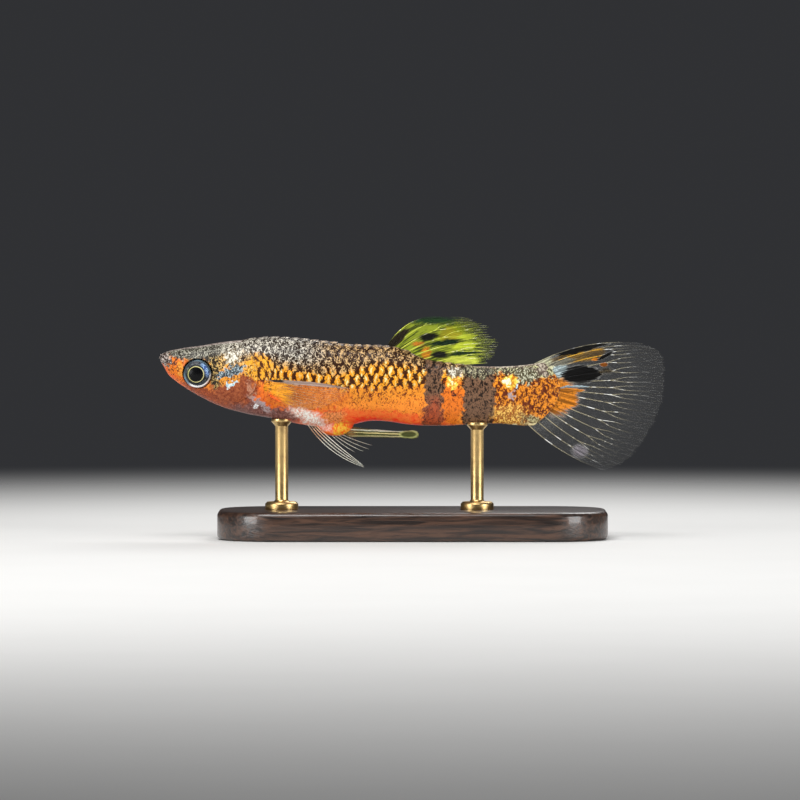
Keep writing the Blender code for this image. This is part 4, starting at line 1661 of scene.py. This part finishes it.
@dataclass(frozen=True)
class Eyes:
    """Both eyes: a shallow globe with a raised ring round a bulging pupil."""

    radius: float = 1.0
    depth: float = 0.78
    flatness: float = 0.5
    proud: float = 0.24
    ring_relief: Pair = (0.015, 0.05)
    pupil_relief: float = 0.006
    cells: int = 96
    finish: EyeFinish = EyeFinish()

    def build(self) -> None:
        """Models and dresses both eyes."""
        material = self.finish.material()
        for side in Side:
            self.globe(side, material)

    def globe(self, side: Side, material: Material) -> None:
        """Models one eye from a sphere whose pole looks outwards.

        Args:
            side: which eye.
            material: its finish.
        """
        ball, cells = bpy.ops.mesh.primitive_uv_sphere_add, self.cells
        obj = added("eyeball" + side.label, ball, segments=cells, ring_count=cells, radius=1.0)
        across, up, out = mesh_points(obj).T
        x, z = across * self.radius, up * self.radius
        pupil, black = self.finish.pupil, self.finish.pupil_radius
        near = np.hypot(x - pupil[0], z - pupil[1])
        front = (1 - self.flatness * (x**2 + z**2)) * smooth(0.0, 0.4, out)
        high, broad = self.ring_relief
        relief = high * bell((near - (black + self.finish.ring_radius) / 2) / broad)
        relief += self.pupil_relief * np.clip(1 - (near / black) ** 2, 0.0, None)
        y = np.where(out > 0, front * self.depth + relief, out * self.depth)
        seat = BODY.flank(*EYE) + self.proud - self.depth
        reshaped(obj, stacked(EYE[0] + x, side.value * (seat + y), EYE[1] + z))
        put_on(obj, material, Slot.EYE, "eye" + side.label)


@dataclass(frozen=True)
class Dab:
    """A soft-edged oval of colour on a fin, and how much it hides what is behind."""

    x: float
    z: float
    long: float
    tall: float
    colour: Colour
    cover: float
    turn: float = 0.0
    soft: float = 0.2
    teeth: float = 0.8


@dataclass(frozen=True)
class FinFinish:
    """A see-through fin, its colour and cover laid on in dabs.

    Comb is how many fine lines run along the rays, strands is how dark they are, and fade is
    where the fin thins out to its edge and how much of it is left there.
    """

    colour: Colour
    cover: float
    dabs: tuple[Dab, ...] = ()
    wobble: float = 0.12
    glints: Colour = rgb(240, 240, 232)
    glint_share: float = 0.0
    root_cover: float = 0.0
    comb: float = 66.0
    strands: float = 0.5
    strand_colour: Colour = rgb(60, 36, 16)
    streaks: float = 0.0
    fade: Row = (0.9, 1.0, 1.0)
    # Lengthwise and crosswise bumps, detail and warp of noises drawn out along the rays
    grain: Row = (26.0, 90.0, 3.0, 0.4)
    glint: Row = (9.0, 60.0, 2.0)
    streak: Row = (3.0, 30.0, 2.0, 0.4)
    # Bumps to a millimetre, detail and warp of plain noises
    curls: Row = (6.0, 1.5, 1.2)
    specks: Row = (8.0, 1.0, 0.5)
    # How dark the dabs get in curls and strands, and the least that hides what is behind
    darkest: float = 0.25
    least_cover: float = 0.02
    roughness: float = 0.35

    def material(self, name: str) -> Material:
        """Builds the material.

        Args:
            name: of the material.

        Returns:
            The material.
        """
        tree = Tree(name)
        spot = tree.spot()
        x, _, z = spot.parts()
        along, across, _ = tree.map("Ray").parts()

        def combed(length: float, breadth: float, detail: float, warp: float = 0.0) -> Num:
            """Noise drawn out along the rays."""
            return tree.noise(tree.pair(along * length, across * breadth), 1.0, detail, warp)

        at = tree.pair(x, z) + tree.stir(spot, 2.2) * (self.wobble * 2, self.wobble * 2, 0.0)
        grain = combed(*self.grain)
        strand = combed(3.0, self.comb, 1.0, 0.1)
        curls = tree.noise(spot, *self.curls).fall(0.36, 0.48)
        curled = curls * along.ranged(0.10, 0.35, 0.95, 0.4)
        dark = (strand.fall(0.44, 0.54) * self.strands).most(curled)
        colour = tree.mix(self.colour, self.strand_colour, grain.rise(0.5, 0.75) * 0.25)
        if self.streaks:
            specks = tree.noise(spot, *self.specks).rise(0.56, 0.64) * along.rise(0.3, 0.8)
            streak = combed(*self.streak).rise(0.50, 0.58).most(specks)
            colour = tree.mix(colour, self.strand_colour, streak * self.streaks)
        cover = (grain - 0.5) * self.cover * 0.8 + self.cover
        cover = cover + along.fall(0.05, 0.35) * self.root_cover
        if self.glint_share:
            lit = combed(*self.glint).rise(0.50, 0.62) * along.rise(0.15, 0.35)
            lit = lit * self.glint_share
            colour = tree.mix(colour, self.glints, lit)
            cover = cover + lit * 0.7
        teeth = combed(2.0, self.comb, 1.0) - 0.5
        for dab in self.dabs:
            out = at.within(dab.x, dab.z, dab.long, dab.tall, dab.turn) + teeth * dab.teeth
            share = out.fall(1 - dab.soft, 1 + dab.soft)
            deep = (*(level * self.darkest for level in dab.colour[:3]), 1.0)
            colour = tree.mix(colour, tree.mix(dab.colour, deep, dark), share)
            cover = cover * (1 - share) + share * dab.cover
        start, end, left = self.fade
        cover = cover * (along + (strand - 0.5) * 0.3).ranged(start, end, 1.0, left)
        return tree.dress(
            Base_Color=colour,
            Roughness=self.roughness,
            Alpha=cover.most(self.least_cover).least(1.0),
            Specular_IOR_Level=0.2,
            Normal=tree.bump(grain, 0.02),
        )


@dataclass(frozen=True)
class Fin:
    """A thin web with forked rays, spread between key rays.

    A key ray has its root, its tip and its bow. Forks are where the rays part, spreads how
    far the branches go, in gaps between rays, and thinning how thick stems and branches are.
    """

    kind: str
    slot: Slot
    keys: tuple[Row, ...]
    sideways: Callable[[Array, Array], Array]
    web: FinFinish
    bones: FinFinish
    rays: int
    forks: Row
    girth: Pair
    sink: float
    notch: float
    overhang: float
    label: str = ""
    uneven: float = 0.0
    seed: int = 3
    thick: float = 0.03
    spreads: Pair = (0.27, 0.13)
    thinning: Row = (1.0, 0.86, 0.74)
    web_cells: tuple[int, int] = (36, 6)
    bone_rings: int = 16
    bone_sides: int = 6

    def point(self, u: Any, v: Any) -> Array:
        """Points of the fin's middle sheet.

        Args:
            u: from root to tip.
            v: from the first ray to the last.

        Returns:
            Points in millimetres.
        """
        u, v = np.broadcast_arrays(np.asarray(u, float), np.asarray(v, float))
        knots = [(i / (len(self.keys) - 1), *key) for i, key in enumerate(self.keys)]
        root_x, root_z, tip_x, tip_z, bow = (through(knots, c, v) for c in range(1, 6))
        line_x, line_z = tip_x - root_x, tip_z - root_z
        start = self.sink / np.hypot(line_x, line_z)
        along = u * (1 + start) - start
        bulge = bow * 4 * along * (1 - along)
        x = root_x + line_x * along - line_z * bulge
        z = root_z + line_z * along + line_x * bulge
        return stacked(x, self.sideways(np.clip(along, 0.0, 2.0), v), z)

    def normal(self, u: Array, v: Array, step: float = 0.01) -> Array:
        """Finds the directions across the sheet.

        Args:
            u, v: places on the sheet.
            step: how far off the sheet's slope is measured.

        Returns:
            Vectors at length 1.
        """
        du = self.point(u + step, v) - self.point(u - step, v)
        inner = np.clip(v, step, 1 - step)
        return unit(np.cross(du, self.point(u, inner + step) - self.point(u, inner - step)))

    def tips(self, v: Array) -> Array:
        """Finds how far the rays reach, each a little differently.

        Args:
            v: from the first ray to the last.

        Returns:
            The reach, about 1.
        """
        draw = np.random.default_rng(self.seed)
        knots = np.linspace(0, 1, self.rays * 2 - 1)
        return 1 + np.interp(v, knots, draw.uniform(-1, 1, len(knots)) * self.uneven)

    def sheet(self) -> None:
        """Models the web from a thin slab, notched between the rays."""
        gaps = self.rays - 1
        slab = Template.slab(self.web_cells[0], gaps * self.web_cells[1])
        u, v, layer = slab.points.T
        u, v = (u + 1) / 2, (v + 1) / 2
        u = u * (self.tips(v) - self.notch * (0.5 - 0.5 * np.cos(v * gaps * math.tau)))
        lift = (layer + 0.5) * self.thick * (1 - 0.6 * smooth(0.5, 1.0, u))
        points = self.point(u, v) + self.normal(u, v) * lift[:, None]
        obj = slab.laid(f"{self.kind}{self.label}_web", [points])
        write_map(obj, "Ray", stacked(u, v))
        node = f"{self.kind}_fin{self.label}"
        put_on(obj, self.web.material(obj.name), self.slot, node)

    def bone_paths(self) -> list[tuple[float, float, float, float, int]]:
        """Lays out stems, branches and twigs. The first and the last ray don't fork.

        Returns:
            Where each starts and ends along, then across, and its order.
        """
        gap = 1 / (self.rays - 1)
        paths = []
        for ray in range(self.rays):
            forks = self.forks if 0 < ray < self.rays - 1 else ()
            buds = [(0.0, ray * gap, ray * gap)]
            for order, end in enumerate((*forks, 1.0 + self.overhang)):
                paths += [(start, end, stem, across, order) for start, stem, across in buds]
                apart = gap * self.spreads[order] if order < len(forks) else 0.0
                buds = [(end, v, v + turn * apart) for _, _, v in buds for turn in (-1, 1)]
        return paths

    def bone_rays(self) -> None:
        """Models the rays as thin tapering tubes in the web."""
        pipe = Template.tube(self.bone_rings, self.bone_sides)
        t = np.linspace(0.0, 1.0, self.bone_rings)
        copies, maps = [], []
        for start, end, stem, across, order in self.bone_paths():
            v = between(stem, across, smooth(0.0, 0.6, t))
            u = between(start, end, t) * self.tips(v)
            radii = between(*self.girth, np.clip(u, 0, 1) ** 0.7) * self.thinning[order]
            radii[-1] *= 0.4
            copies.append(pipe.bent(self.point(u, v), self.normal(u, v), radii))
            maps.append(stacked(u, v)[pipe.rings(self.bone_rings)])
        obj = pipe.laid(f"{self.kind}{self.label}_rays", copies)
        write_map(obj, "Ray", np.concatenate(maps))
        put_on(obj, self.bones.material(obj.name), self.slot)

    def build(self) -> None:
        """Models and dresses web and rays."""
        self.sheet()
        self.bone_rays()


def caudal_fin() -> Fin:
    """Tail fin: clear, with whitish rays, black and gold above its root, orange within.

    Returns:
        The fin.
    """
    upper = (26.4, -0.30, 33.5, 0.88, 0.075)
    lower = (25.45, -4.64, 30.9, -7.90, -0.06)
    # Height of the root on the stalk's end, then tip and bow
    inner = (
        (0.70, 34.8, 0.15, 0.045),
        (0.25, 35.0, -1.60, 0.01),
        (-0.10, 34.7, -3.40, 0.00),
        (-0.45, 33.8, -5.40, -0.02),
        (-0.75, 32.4, -7.10, -0.04),
    )
    black, gold, orange = rgb(10, 9, 9), rgb(236, 180, 56), rgb(242, 148, 44)
    cream = rgb(226, 220, 190)
    dabs = (
        Dab(26.9, -1.1, 1.0, 1.0, rgb(244, 242, 200), 0.9),
        Dab(27.5, -2.7, 1.4, 1.3, orange, 0.95),
        Dab(27.75, -0.95, 0.55, 0.50, rgb(206, 226, 228), 0.9, 20),
        Dab(28.2, -2.95, 0.75, 0.75, orange, 0.95),
        Dab(28.6, -2.10, 1.2, 0.07, rgb(200, 222, 230), 0.7, 2),
        Dab(28.5, -2.36, 0.95, 0.11, orange, 0.95, 2),
        Dab(28.75, -0.08, 1.5, 0.36, gold, 0.9, 8),
        Dab(27.9, -0.40, 0.9, 0.22, cream, 0.85, 14),
        Dab(30.05, 0.14, 0.85, 0.36, gold, 0.9, 22),
        Dab(30.16, -0.21, 0.24, 0.10, orange, 0.9, 10),
        Dab(30.78, -0.56, 0.32, 0.15, rgb(220, 124, 34), 0.8, 12),
        Dab(29.25, 0.50, 1.85, 0.20, black, 0.97, 13),
        Dab(30.87, 0.03, 0.60, 0.14, black, 0.9, 27),
        Dab(29.22, -1.24, 1.42, 0.62, black, 0.99, 4, 0.1),
        Dab(30.95, -0.98, 0.36, 0.26, rgb(126, 108, 70), 0.22, 0, 0.6),
        Dab(29.1, -6.6, 0.55, 0.5, rgb(196, 188, 196), 0.3, 0, 0.4),
    )
    # Between the rays gold and cream are dim
    dim = tuple(replace(dab, cover=0.14) if dab.colour in (gold, cream) else dab for dab in dabs)
    grey = rgb(176, 176, 172)
    web = FinFinish(grey, 0.03, dim, root_cover=0.10, strands=0.9, fade=(0.75, 1.05, 0.4))
    bones = FinFinish(
        rgb(200, 190, 156), 0.42, dabs, glints=rgb(255, 255, 250), glint_share=1.0,
        root_cover=0.35, strands=0.6, fade=(0.55, 0.84, 0.05),
    )
    return Fin(
        kind="caudal",
        slot=Slot.CLEAR,
        keys=(upper, *((*BODY.tail_root(height), *rest) for height, *rest in inner), lower),
        sideways=lambda u, v: 0.35 * u * np.sin(math.tau * (v * 0.9 + 0.1)),
        web=web,
        bones=bones,
        rays=16, forks=(0.5, 0.8), girth=(0.050, 0.016), sink=0.9,
        notch=0.015, overhang=0.006, uneven=0.008,
    )


def dorsal_fin() -> Fin:
    """Back fin: yellow-green with black marks and bright yellow rays.

    Returns:
        The fin.
    """
    # Distance from the snout and height over the back, then tip and bow
    rays = (
        (15.95, 0.3, 19.2, 2.80, 0.13),
        (16.55, 0.3, 21.3, 2.66, 0.10),
        (17.15, 0.3, 22.3, 2.17, 0.07),
        (17.80, 0.3, 22.9, 1.45, 0.05),
        (18.50, 0.25, 23.2, 0.65, 0.05),
        (19.35, 0.15, 23.0, 0.10, 0.04),
        (20.60, 0.0, 22.75, -0.44, 0.00),
    )
    black, lime, olive = rgb(20, 22, 14), rgb(206, 220, 60), rgb(176, 168, 40)
    green = Dab(18.6, 2.75, 2.4, 0.50, rgb(40, 78, 32), 0.6, -4, 0.4)
    bright = (
        Dab(20.2, 1.45, 0.80, 0.60, olive, 0.92, 5),
        Dab(21.3, 1.38, 0.75, 0.20, lime, 0.92, 8),
        Dab(21.2, 0.75, 0.95, 0.26, lime, 0.92, 10),
        Dab(20.9, -0.25, 1.2, 0.28, rgb(230, 240, 92), 0.97, 0),
        Dab(21.0, 0.24, 1.1, 0.14, rgb(34, 58, 24), 0.85, 4, 0.4),
        Dab(17.9, 0.88, 0.5, 0.18, rgb(206, 130, 40), 0.9, 0, 0.3, 1.6),
        Dab(18.45, 0.30, 0.32, 0.40, rgb(236, 156, 40), 0.9, -10, 0.3, 1.6),
        Dab(21.3, 2.05, 0.8, 0.40, rgb(140, 152, 24), 0.8, 0, 0.5, 2.4),
    )
    dark = (
        Dab(19.7, 0.97, 1.35, 0.20, rgb(22, 44, 24), 0.92, 6, 0.35),
        Dab(18.60, 1.36, 0.74, 0.27, black, 0.95, 10, 0.35),
        Dab(19.42, 0.13, 0.62, 0.27, black, 0.95, 0, 0.35),
        Dab(16.45, 1.16, 1.1, 0.32, rgb(44, 36, 22), 0.92, 43),
    )
    web = FinFinish(
        rgb(158, 172, 48), 0.82, (green, *bright, *dark), root_cover=0.15, comb=44.0,
        strand_colour=rgb(36, 50, 18), streaks=0.85, fade=(0.70, 0.88, 0.12),
    )
    bones = FinFinish(
        rgb(220, 228, 84), 0.9, (green, *dark), glints=rgb(252, 254, 200), glint_share=0.9,
        comb=44.0, strand_colour=rgb(120, 130, 40), fade=(0.72, 0.94, 0.15),
    )
    return Fin(
        kind="dorsal",
        slot=Slot.DORSAL,
        keys=tuple((x, float(BODY.section(x)[0]) + lift, *rest) for x, lift, *rest in rays),
        sideways=lambda u, v: 0.22 * u * np.sin(math.tau * v * 0.8),
        web=web,
        bones=bones,
        rays=8, forks=(0.5, 0.75), girth=(0.055, 0.016), sink=0.75,
        notch=0.08, overhang=0.03, uneven=0.045, seed=11,
    )


def pectoral_fin(side: Side) -> Fin:
    """Breast fin: see-through, pale along its upper edge, gold at its root.

    Args:
        side: on which flank.

    Returns:
        The fin.
    """
    keys = (
        (7.75, -1.60, 13.3, -2.15, 0.03),
        (7.60, -1.95, 12.4, -2.95, 0.02),
        (7.55, -2.30, 11.2, -3.45, 0.00),
        (7.60, -2.65, 10.0, -3.60, -0.04),
    )
    # How far the fin stands off the flank near its root, and its first and last tips
    clear, tips = 0.35, (1.15, 0.55)
    (root_x, root_z, *_), (_, end_z, *_) = keys[0], keys[-1]

    def outwards(u: Array, v: Array) -> Array:
        """How far out the fin stands."""
        root = BODY.flank(root_x, between(root_z, end_z, v)) + clear * smooth(0.0, 0.2, u)
        return side.value * (root + between(*tips, v) * u)

    dabs = (
        Dab(8.0, -2.45, 1.15, 1.0, rgb(255, 160, 36, 0.95), 0.92, -18, 0.2, 2.4),
        Dab(7.75, -2.95, 0.85, 0.42, rgb(250, 96, 34, 0.95), 0.92, -24, 0.4, 1.2),
        Dab(10.2, -1.80, 2.9, 0.14, rgb(196, 170, 158), 0.8, -5, 0.3),
        Dab(8.15, -1.62, 0.50, 0.10, rgb(26, 18, 12), 0.97, -8),
    )
    return Fin(
        kind="pectoral",
        label=side.label,
        slot=Slot.CLEAR,
        keys=keys,
        sideways=outwards,
        web=FinFinish(rgb(190, 140, 96), 0.06, dabs, comb=22.0),
        bones=FinFinish(rgb(206, 156, 100), 0.3, dabs, glint_share=0.3, comb=22.0),
        rays=12, forks=(0.5,), girth=(0.034, 0.014), sink=0.35,
        notch=0.02, overhang=0.01,
    )


def pelvic_fin(side: Side) -> Fin:
    """Belly fin: a narrow fan of whitish rays. The left one hangs lower.

    Args:
        side: on which flank.

    Returns:
        The fin.
    """
    left = (
        (10.30, -4.75, 14.12, -7.60, -0.085),
        (10.60, -4.80, 14.10, -7.52, -0.050),
        (10.92, -4.85, 14.02, -7.42, -0.015),
    )
    right = (
        (11.45, -4.95, 13.50, -6.66, -0.05),
        (11.60, -5.00, 14.30, -6.55, -0.04),
        (11.90, -5.05, 14.70, -6.20, -0.03),
    )
    dabs = (Dab(10.9, -5.15, 0.7, 0.5, rgb(255, 176, 140, BELLY_LIGHT), 0.8, -35, 0.5),)
    whitish = rgb(240, 230, 204, BELLY_LIGHT)
    return Fin(
        kind="pelvic",
        label=side.label,
        slot=Slot.CLEAR,
        keys=left if side is Side.LEFT else right,
        sideways=lambda u, v: side.value * (0.3 + 1.05 * u),
        web=FinFinish(rgb(200, 190, 170), 0.02),
        bones=FinFinish(whitish, 0.85, dabs, glint_share=0.7, fade=(0.7, 1.0, 0.4)),
        rays=4, forks=(), girth=(0.036, 0.014), sink=0.35,
        notch=0.3, overhang=0.01,
    )


@dataclass(frozen=True)
class Gonopodium:
    """The male's rod-like anal fin, its rays as ridges, with a palp at the tip."""

    root: Pair = (12.7, -5.18)
    tip: Pair = (17.95, -5.42)
    sag: float = 0.05
    ridges: int = 8
    ridge_height: float = 0.10
    # How far along, then height and half thickness
    shape: tuple[Row, ...] = (
        (0.00, 0.30, 0.10),
        (0.10, 0.62, 0.20),
        (0.25, 0.56, 0.20),
        (0.50, 0.48, 0.17),
        (0.74, 0.42, 0.15),
        (0.86, 0.52, 0.17),
        (0.94, 0.58, 0.17),
        (0.985, 0.40, 0.12),
        (1.00, 0.16, 0.06),
    )
    rings: int = 60
    sides: int = 36
    dabs: tuple[Dab, ...] = (
        Dab(13.2, -5.2, 0.45, 0.5, rgb(170, 130, 74), 0.7, 0, 0.6),
        Dab(15.2, -5.13, 2.6, 0.055, rgb(234, 240, 216), 0.98, -2, 0.2, 0.0),
        Dab(15.5, -5.32, 2.4, 0.04, rgb(224, 212, 150), 0.95, -2, 0.2, 0.0),
        Dab(15.3, -5.53, 2.5, 0.05, rgb(232, 220, 166), 0.98, -1, 0.2, 0.0),
        # White-cyan painted highlight along the top near the tip
        Dab(16.6, -5.10, 0.9, 0.08, rgb(214, 250, 240), 0.98, -2, 0.3, 0.0),
        Dab(17.25, -5.38, 0.66, 0.30, rgb(212, 216, 136), 0.98, 0, 0.2, 0.0),
        Dab(17.25, -5.38, 0.54, 0.20, rgb(92, 98, 46), 0.85, 0, 0.2, 0.0),
    )

    def build(self) -> None:
        """Models it from a tube and dresses it."""
        pipe = Template.tube(self.rings, self.sides)
        along = pipe.rings(self.rings) / (self.rings - 1)
        tall, wide = through(self.shape, 1, along) / 2, through(self.shape, 2, along)
        angle = np.arctan2(pipe.points[:, 1], pipe.points[:, 0])
        ridge = self.ridge_height * np.cos(self.ridges * angle)
        ridged = 1 + ridge * (1 - smooth(0.7, 0.9, along))
        middle = between(self.root[1], self.tip[1], along) - self.sag * np.sin(math.pi * along)
        x = between(self.root[0], self.tip[0], along)
        y, z = wide * np.cos(angle) * ridged, middle + tall * np.sin(angle) * ridged
        obj = pipe.laid("gonopodium_fin", [stacked(x, y, z)])
        write_map(obj, "Ray", stacked(along, angle / math.tau + 0.5))
        finish = FinFinish(rgb(110, 112, 54), 0.55, self.dabs, wobble=0.03)
        put_on(obj, finish.material("gonopodium"), Slot.CLEAR, "gonopodium")


@dataclass(frozen=True)
class Wood:
    """Dark varnished wood with a fine grain along X."""

    browns: tuple[Colour, Colour] = (rgb(34, 24, 20), rgb(88, 60, 44))
    pore: Colour = rgb(20, 14, 12)
    # Stretch of each noise, then its bumps to a millimetre, detail and warp
    grain: tuple[Row, Row] = ((0.16, 2.2, 2.2), (1.6, 6.0, 0.8))
    pores: tuple[Row, Row] = ((0.6, 9.0, 9.0), (1.5, 2.0))

    def material(self) -> Material:
        """Builds the finish.

        Returns:
            The material.
        """
        tree = Tree("dark_wood")
        noises = (self.grain, self.pores)
        grain, pores = (tree.noise(tree.spot() * stretch, *look) for stretch, look in noises)
        colour = tree.mix(*self.browns, grain.rise(0.35, 0.68))
        return tree.dress(
            Base_Color=tree.mix(colour, self.pore, pores.rise(0.58, 0.7) * 0.6),
            Roughness=grain.ranged(0.3, 0.7, 0.30, 0.44),
            Coat_Weight=0.5,
            Coat_Roughness=0.12,
            Normal=tree.bump(grain + pores * 0.5, 0.03),
        )


@dataclass(frozen=True)
class Brass:
    """Satin brass, turned, with faint rings round the rod."""

    clean: Colour = (0.62, 0.43, 0.18, 1.0)
    tarnished: Colour = (0.42, 0.28, 0.12, 1.0)
    rings: Row = (0.4, 0.4, 16.0)

    def material(self) -> Material:
        """Builds the finish.

        Returns:
            The material.
        """
        tree = Tree("brass")
        rings = tree.noise(tree.spot() * self.rings, 1.0, 2.0)
        tarnish = tree.noise(tree.spot(), 1.4, 3.0).rise(0.4, 0.75)
        return tree.dress(
            Base_Color=tree.mix(self.clean, self.tarnished, tarnish),
            Metallic=1.0,
            Roughness=rings.ranged(0.3, 0.7, 0.3, 0.4),
            Normal=tree.bump(rings, 0.003),
        )


@dataclass(frozen=True)
class Stand:
    """Flat base with round corners, and two turned rods with collar and cup."""

    length: float = 27.0
    width: float = 12.0
    height: float = 2.0
    corner: float = 4.2
    edge: float = 0.35
    stations: tuple[tuple[str, float], ...] = (("front", 8.45), ("rear", 22.0))
    rod: float = 0.45
    rod_sides: int = 48
    rod_edge: float = 0.03
    # Radius and height, then the slope and the fillet above the collar
    collar: Pair = (1.15, 0.55)
    slope: float = 0.15
    fillet: Pair = (0.1, 0.12)
    # Radius and height of the cup, the height of its lip, and how deep the belly sits in it
    cup: Pair = (0.72, 0.50)
    lip: float = 0.2
    seat: float = 0.12

    def base(self) -> None:
        """Models the base from a cube."""
        size = (self.length * MM, self.width * MM, self.height * MM)
        middle = (0.0, 0.0, size[2] / 2)
        cube = bpy.ops.mesh.primitive_cube_add
        obj = settled(added("base_plate", cube, size=1.0, location=middle, scale=size))
        weights = obj.data.attributes.new("bevel_weight_edge", "FLOAT", "EDGE")
        for edge in obj.data.edges:
            ends = [obj.data.vertices[i].co.z for i in edge.vertices]
            weights.data[edge.index].value = float(abs(ends[0] - ends[1]) > MM)
        modified(obj, "BEVEL", width=self.corner * MM, segments=16, limit_method="WEIGHT")
        bevelled(obj, self.edge, 4, 50)
        bpy.ops.object.shade_smooth_by_angle(angle=math.radians(40))
        put_on(obj, Wood().material(), Slot.BASE, "stand_base")

    def post(self, label: str, station: float, material: Material) -> None:
        """Models one rod, turned from its profile.

        Args:
            label: which rod.
            station: its distance from the snout.
            material: its finish.
        """
        top = SNOUT_AT[2] + float(BODY.section(station)[1]) + self.seat
        foot, (broad, tall) = self.height, self.collar
        profile = (
            (broad, foot),
            (broad, foot + tall - self.slope),
            (broad - self.slope, foot + tall),
            (self.rod + self.fillet[0], foot + tall),
            (self.rod, foot + tall + self.fillet[1]),
            (self.rod, top - self.cup[1]),
            (self.cup[0], top - self.lip),
            (self.cup[0], top),
        )
        steps = [(radius * MM, z * MM) for radius, z in profile]
        at = Vector((SNOUT_AT[0] + station, 0.0, foot)) * MM
        obj = settled(turned("rod_" + label, self.rod_sides, steps, at))
        closed_up(bevelled(obj, self.rod_edge, 2, 30), 40.0)
        put_on(obj, material, Slot.ROD, "stand_rod_" + label)

    def build(self) -> None:
        """Models and dresses the stand."""
        self.base()
        brass = Brass().material()
        for label, station in self.stations:
            self.post(label, station, brass)


@dataclass(frozen=True)
class Studio:
    """Pale floor, soft lights and a camera level with the flank."""

    aim: Row = (-0.87, 0.0, 9.59)
    frame_width: float = 55.44
    distance: float = 520.0
    rise: float = 1.6
    floor_radius: float = 260.0
    floor_sides: int = 96
    floor_tones: tuple[Colour, Colour] = ((0.74, 0.735, 0.72, 1.0), (0.70, 0.695, 0.68, 1.0))
    # Where it fades out, in radii: close behind the fish, and only at its rim in front
    fade_behind: Pair = (0.12, 0.55)
    fade_rim: Pair = (0.88, 1.0)
    backdrop: Colour = (0.030, 0.031, 0.034, 1.0)
    # Name, place, size and power of each soft light
    lamps: tuple[tuple[str, Row, float, float], ...] = (
        ("key", (-40.0, -70.0, 150.0), 90.0, 0.23),
        ("left_fill", (-150.0, -110.0, 45.0), 80.0, 0.19),
        ("right_fill", (150.0, -110.0, 45.0), 80.0, 0.19),
        ("back", (40.0, 110.0, 120.0), 90.0, 0.14),
    )

    def floor(self) -> None:
        """Lays a pale round floor that fades into the backdrop's grey."""
        radius = self.floor_radius * MM
        obj = turned("floor", self.floor_sides, [(radius, 0.0)])
        tree = Tree("pale_floor")
        x, y, _ = (tree.place() * ((1 / radius,) * 3)).parts()
        behind = tree.pair(x, y.most(0.0) + y.least(0.0) * 0.2).length().fall(*self.fade_behind)
        rim = tree.pair(x, y).length().fall(*self.fade_rim)
        mottle = tree.mix(*self.floor_tones, tree.noise(tree.place(), 90.0, 3.0))
        tree.dress(Base_Color=mottle, Roughness=0.75, Alpha=behind * rim)
        obj.data.materials.append(tree.material)

    def lights(self) -> None:
        """Sets up the soft lights and an even grey surround."""
        for name, at, size, power in self.lamps:
            lamp = bpy.data.lights.new(name, "AREA")
            lamp.size = size * MM
            lamp.energy = power
            obj = bpy.data.objects.new(name, lamp)
            bpy.context.scene.collection.objects.link(obj)
            obj.location = Vector(at) * MM
            towards = Vector(self.aim) * MM - obj.location
            obj.rotation_euler = towards.to_track_quat("-Z", "Y").to_euler()
        world = bpy.data.worlds.new("studio")
        bpy.context.scene.world = world
        world.use_nodes = True
        surround = world.node_tree.nodes["Background"]
        surround.inputs["Color"].default_value = self.backdrop
        surround.inputs["Strength"].default_value = 1.0

    def camera(self) -> None:
        """Sets up the camera, a little above the fish's own level."""
        camera = bpy.data.cameras.new("camera")
        camera.lens = camera.sensor_width * self.distance / self.frame_width
        camera.clip_start, camera.clip_end = 0.01, 10.0
        obj = bpy.data.objects.new("camera", camera)
        bpy.context.scene.collection.objects.link(obj)
        turn = math.radians(self.rise)
        back = Vector((0.0, -math.cos(turn), math.sin(turn))) * self.distance
        obj.location = (Vector(self.aim) + back) * MM
        obj.rotation_euler = (math.pi / 2 - turn, 0.0, 0.0)
        bpy.context.scene.camera = obj

    def build(self) -> None:
        """Sets up floor, lights and camera, with colours shown as they are."""
        bpy.context.scene.view_settings.view_transform = "Standard"
        self.floor()
        self.lights()
        self.camera()


def main() -> None:
    """Builds and dresses the guppy over its frame."""
    logging.basicConfig(level=logging.INFO, format="%(name)s: %(message)s")
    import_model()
    fins = [caudal_fin(), dorsal_fin()]
    fins += [fin(side) for side in Side for fin in (pectoral_fin, pelvic_fin)]
    for piece in (Studio(), Skin(), Scales(), Eyes(), *fins, Gonopodium(), Stand()):
        piece.build()


if __name__ == "__main__":
    main()
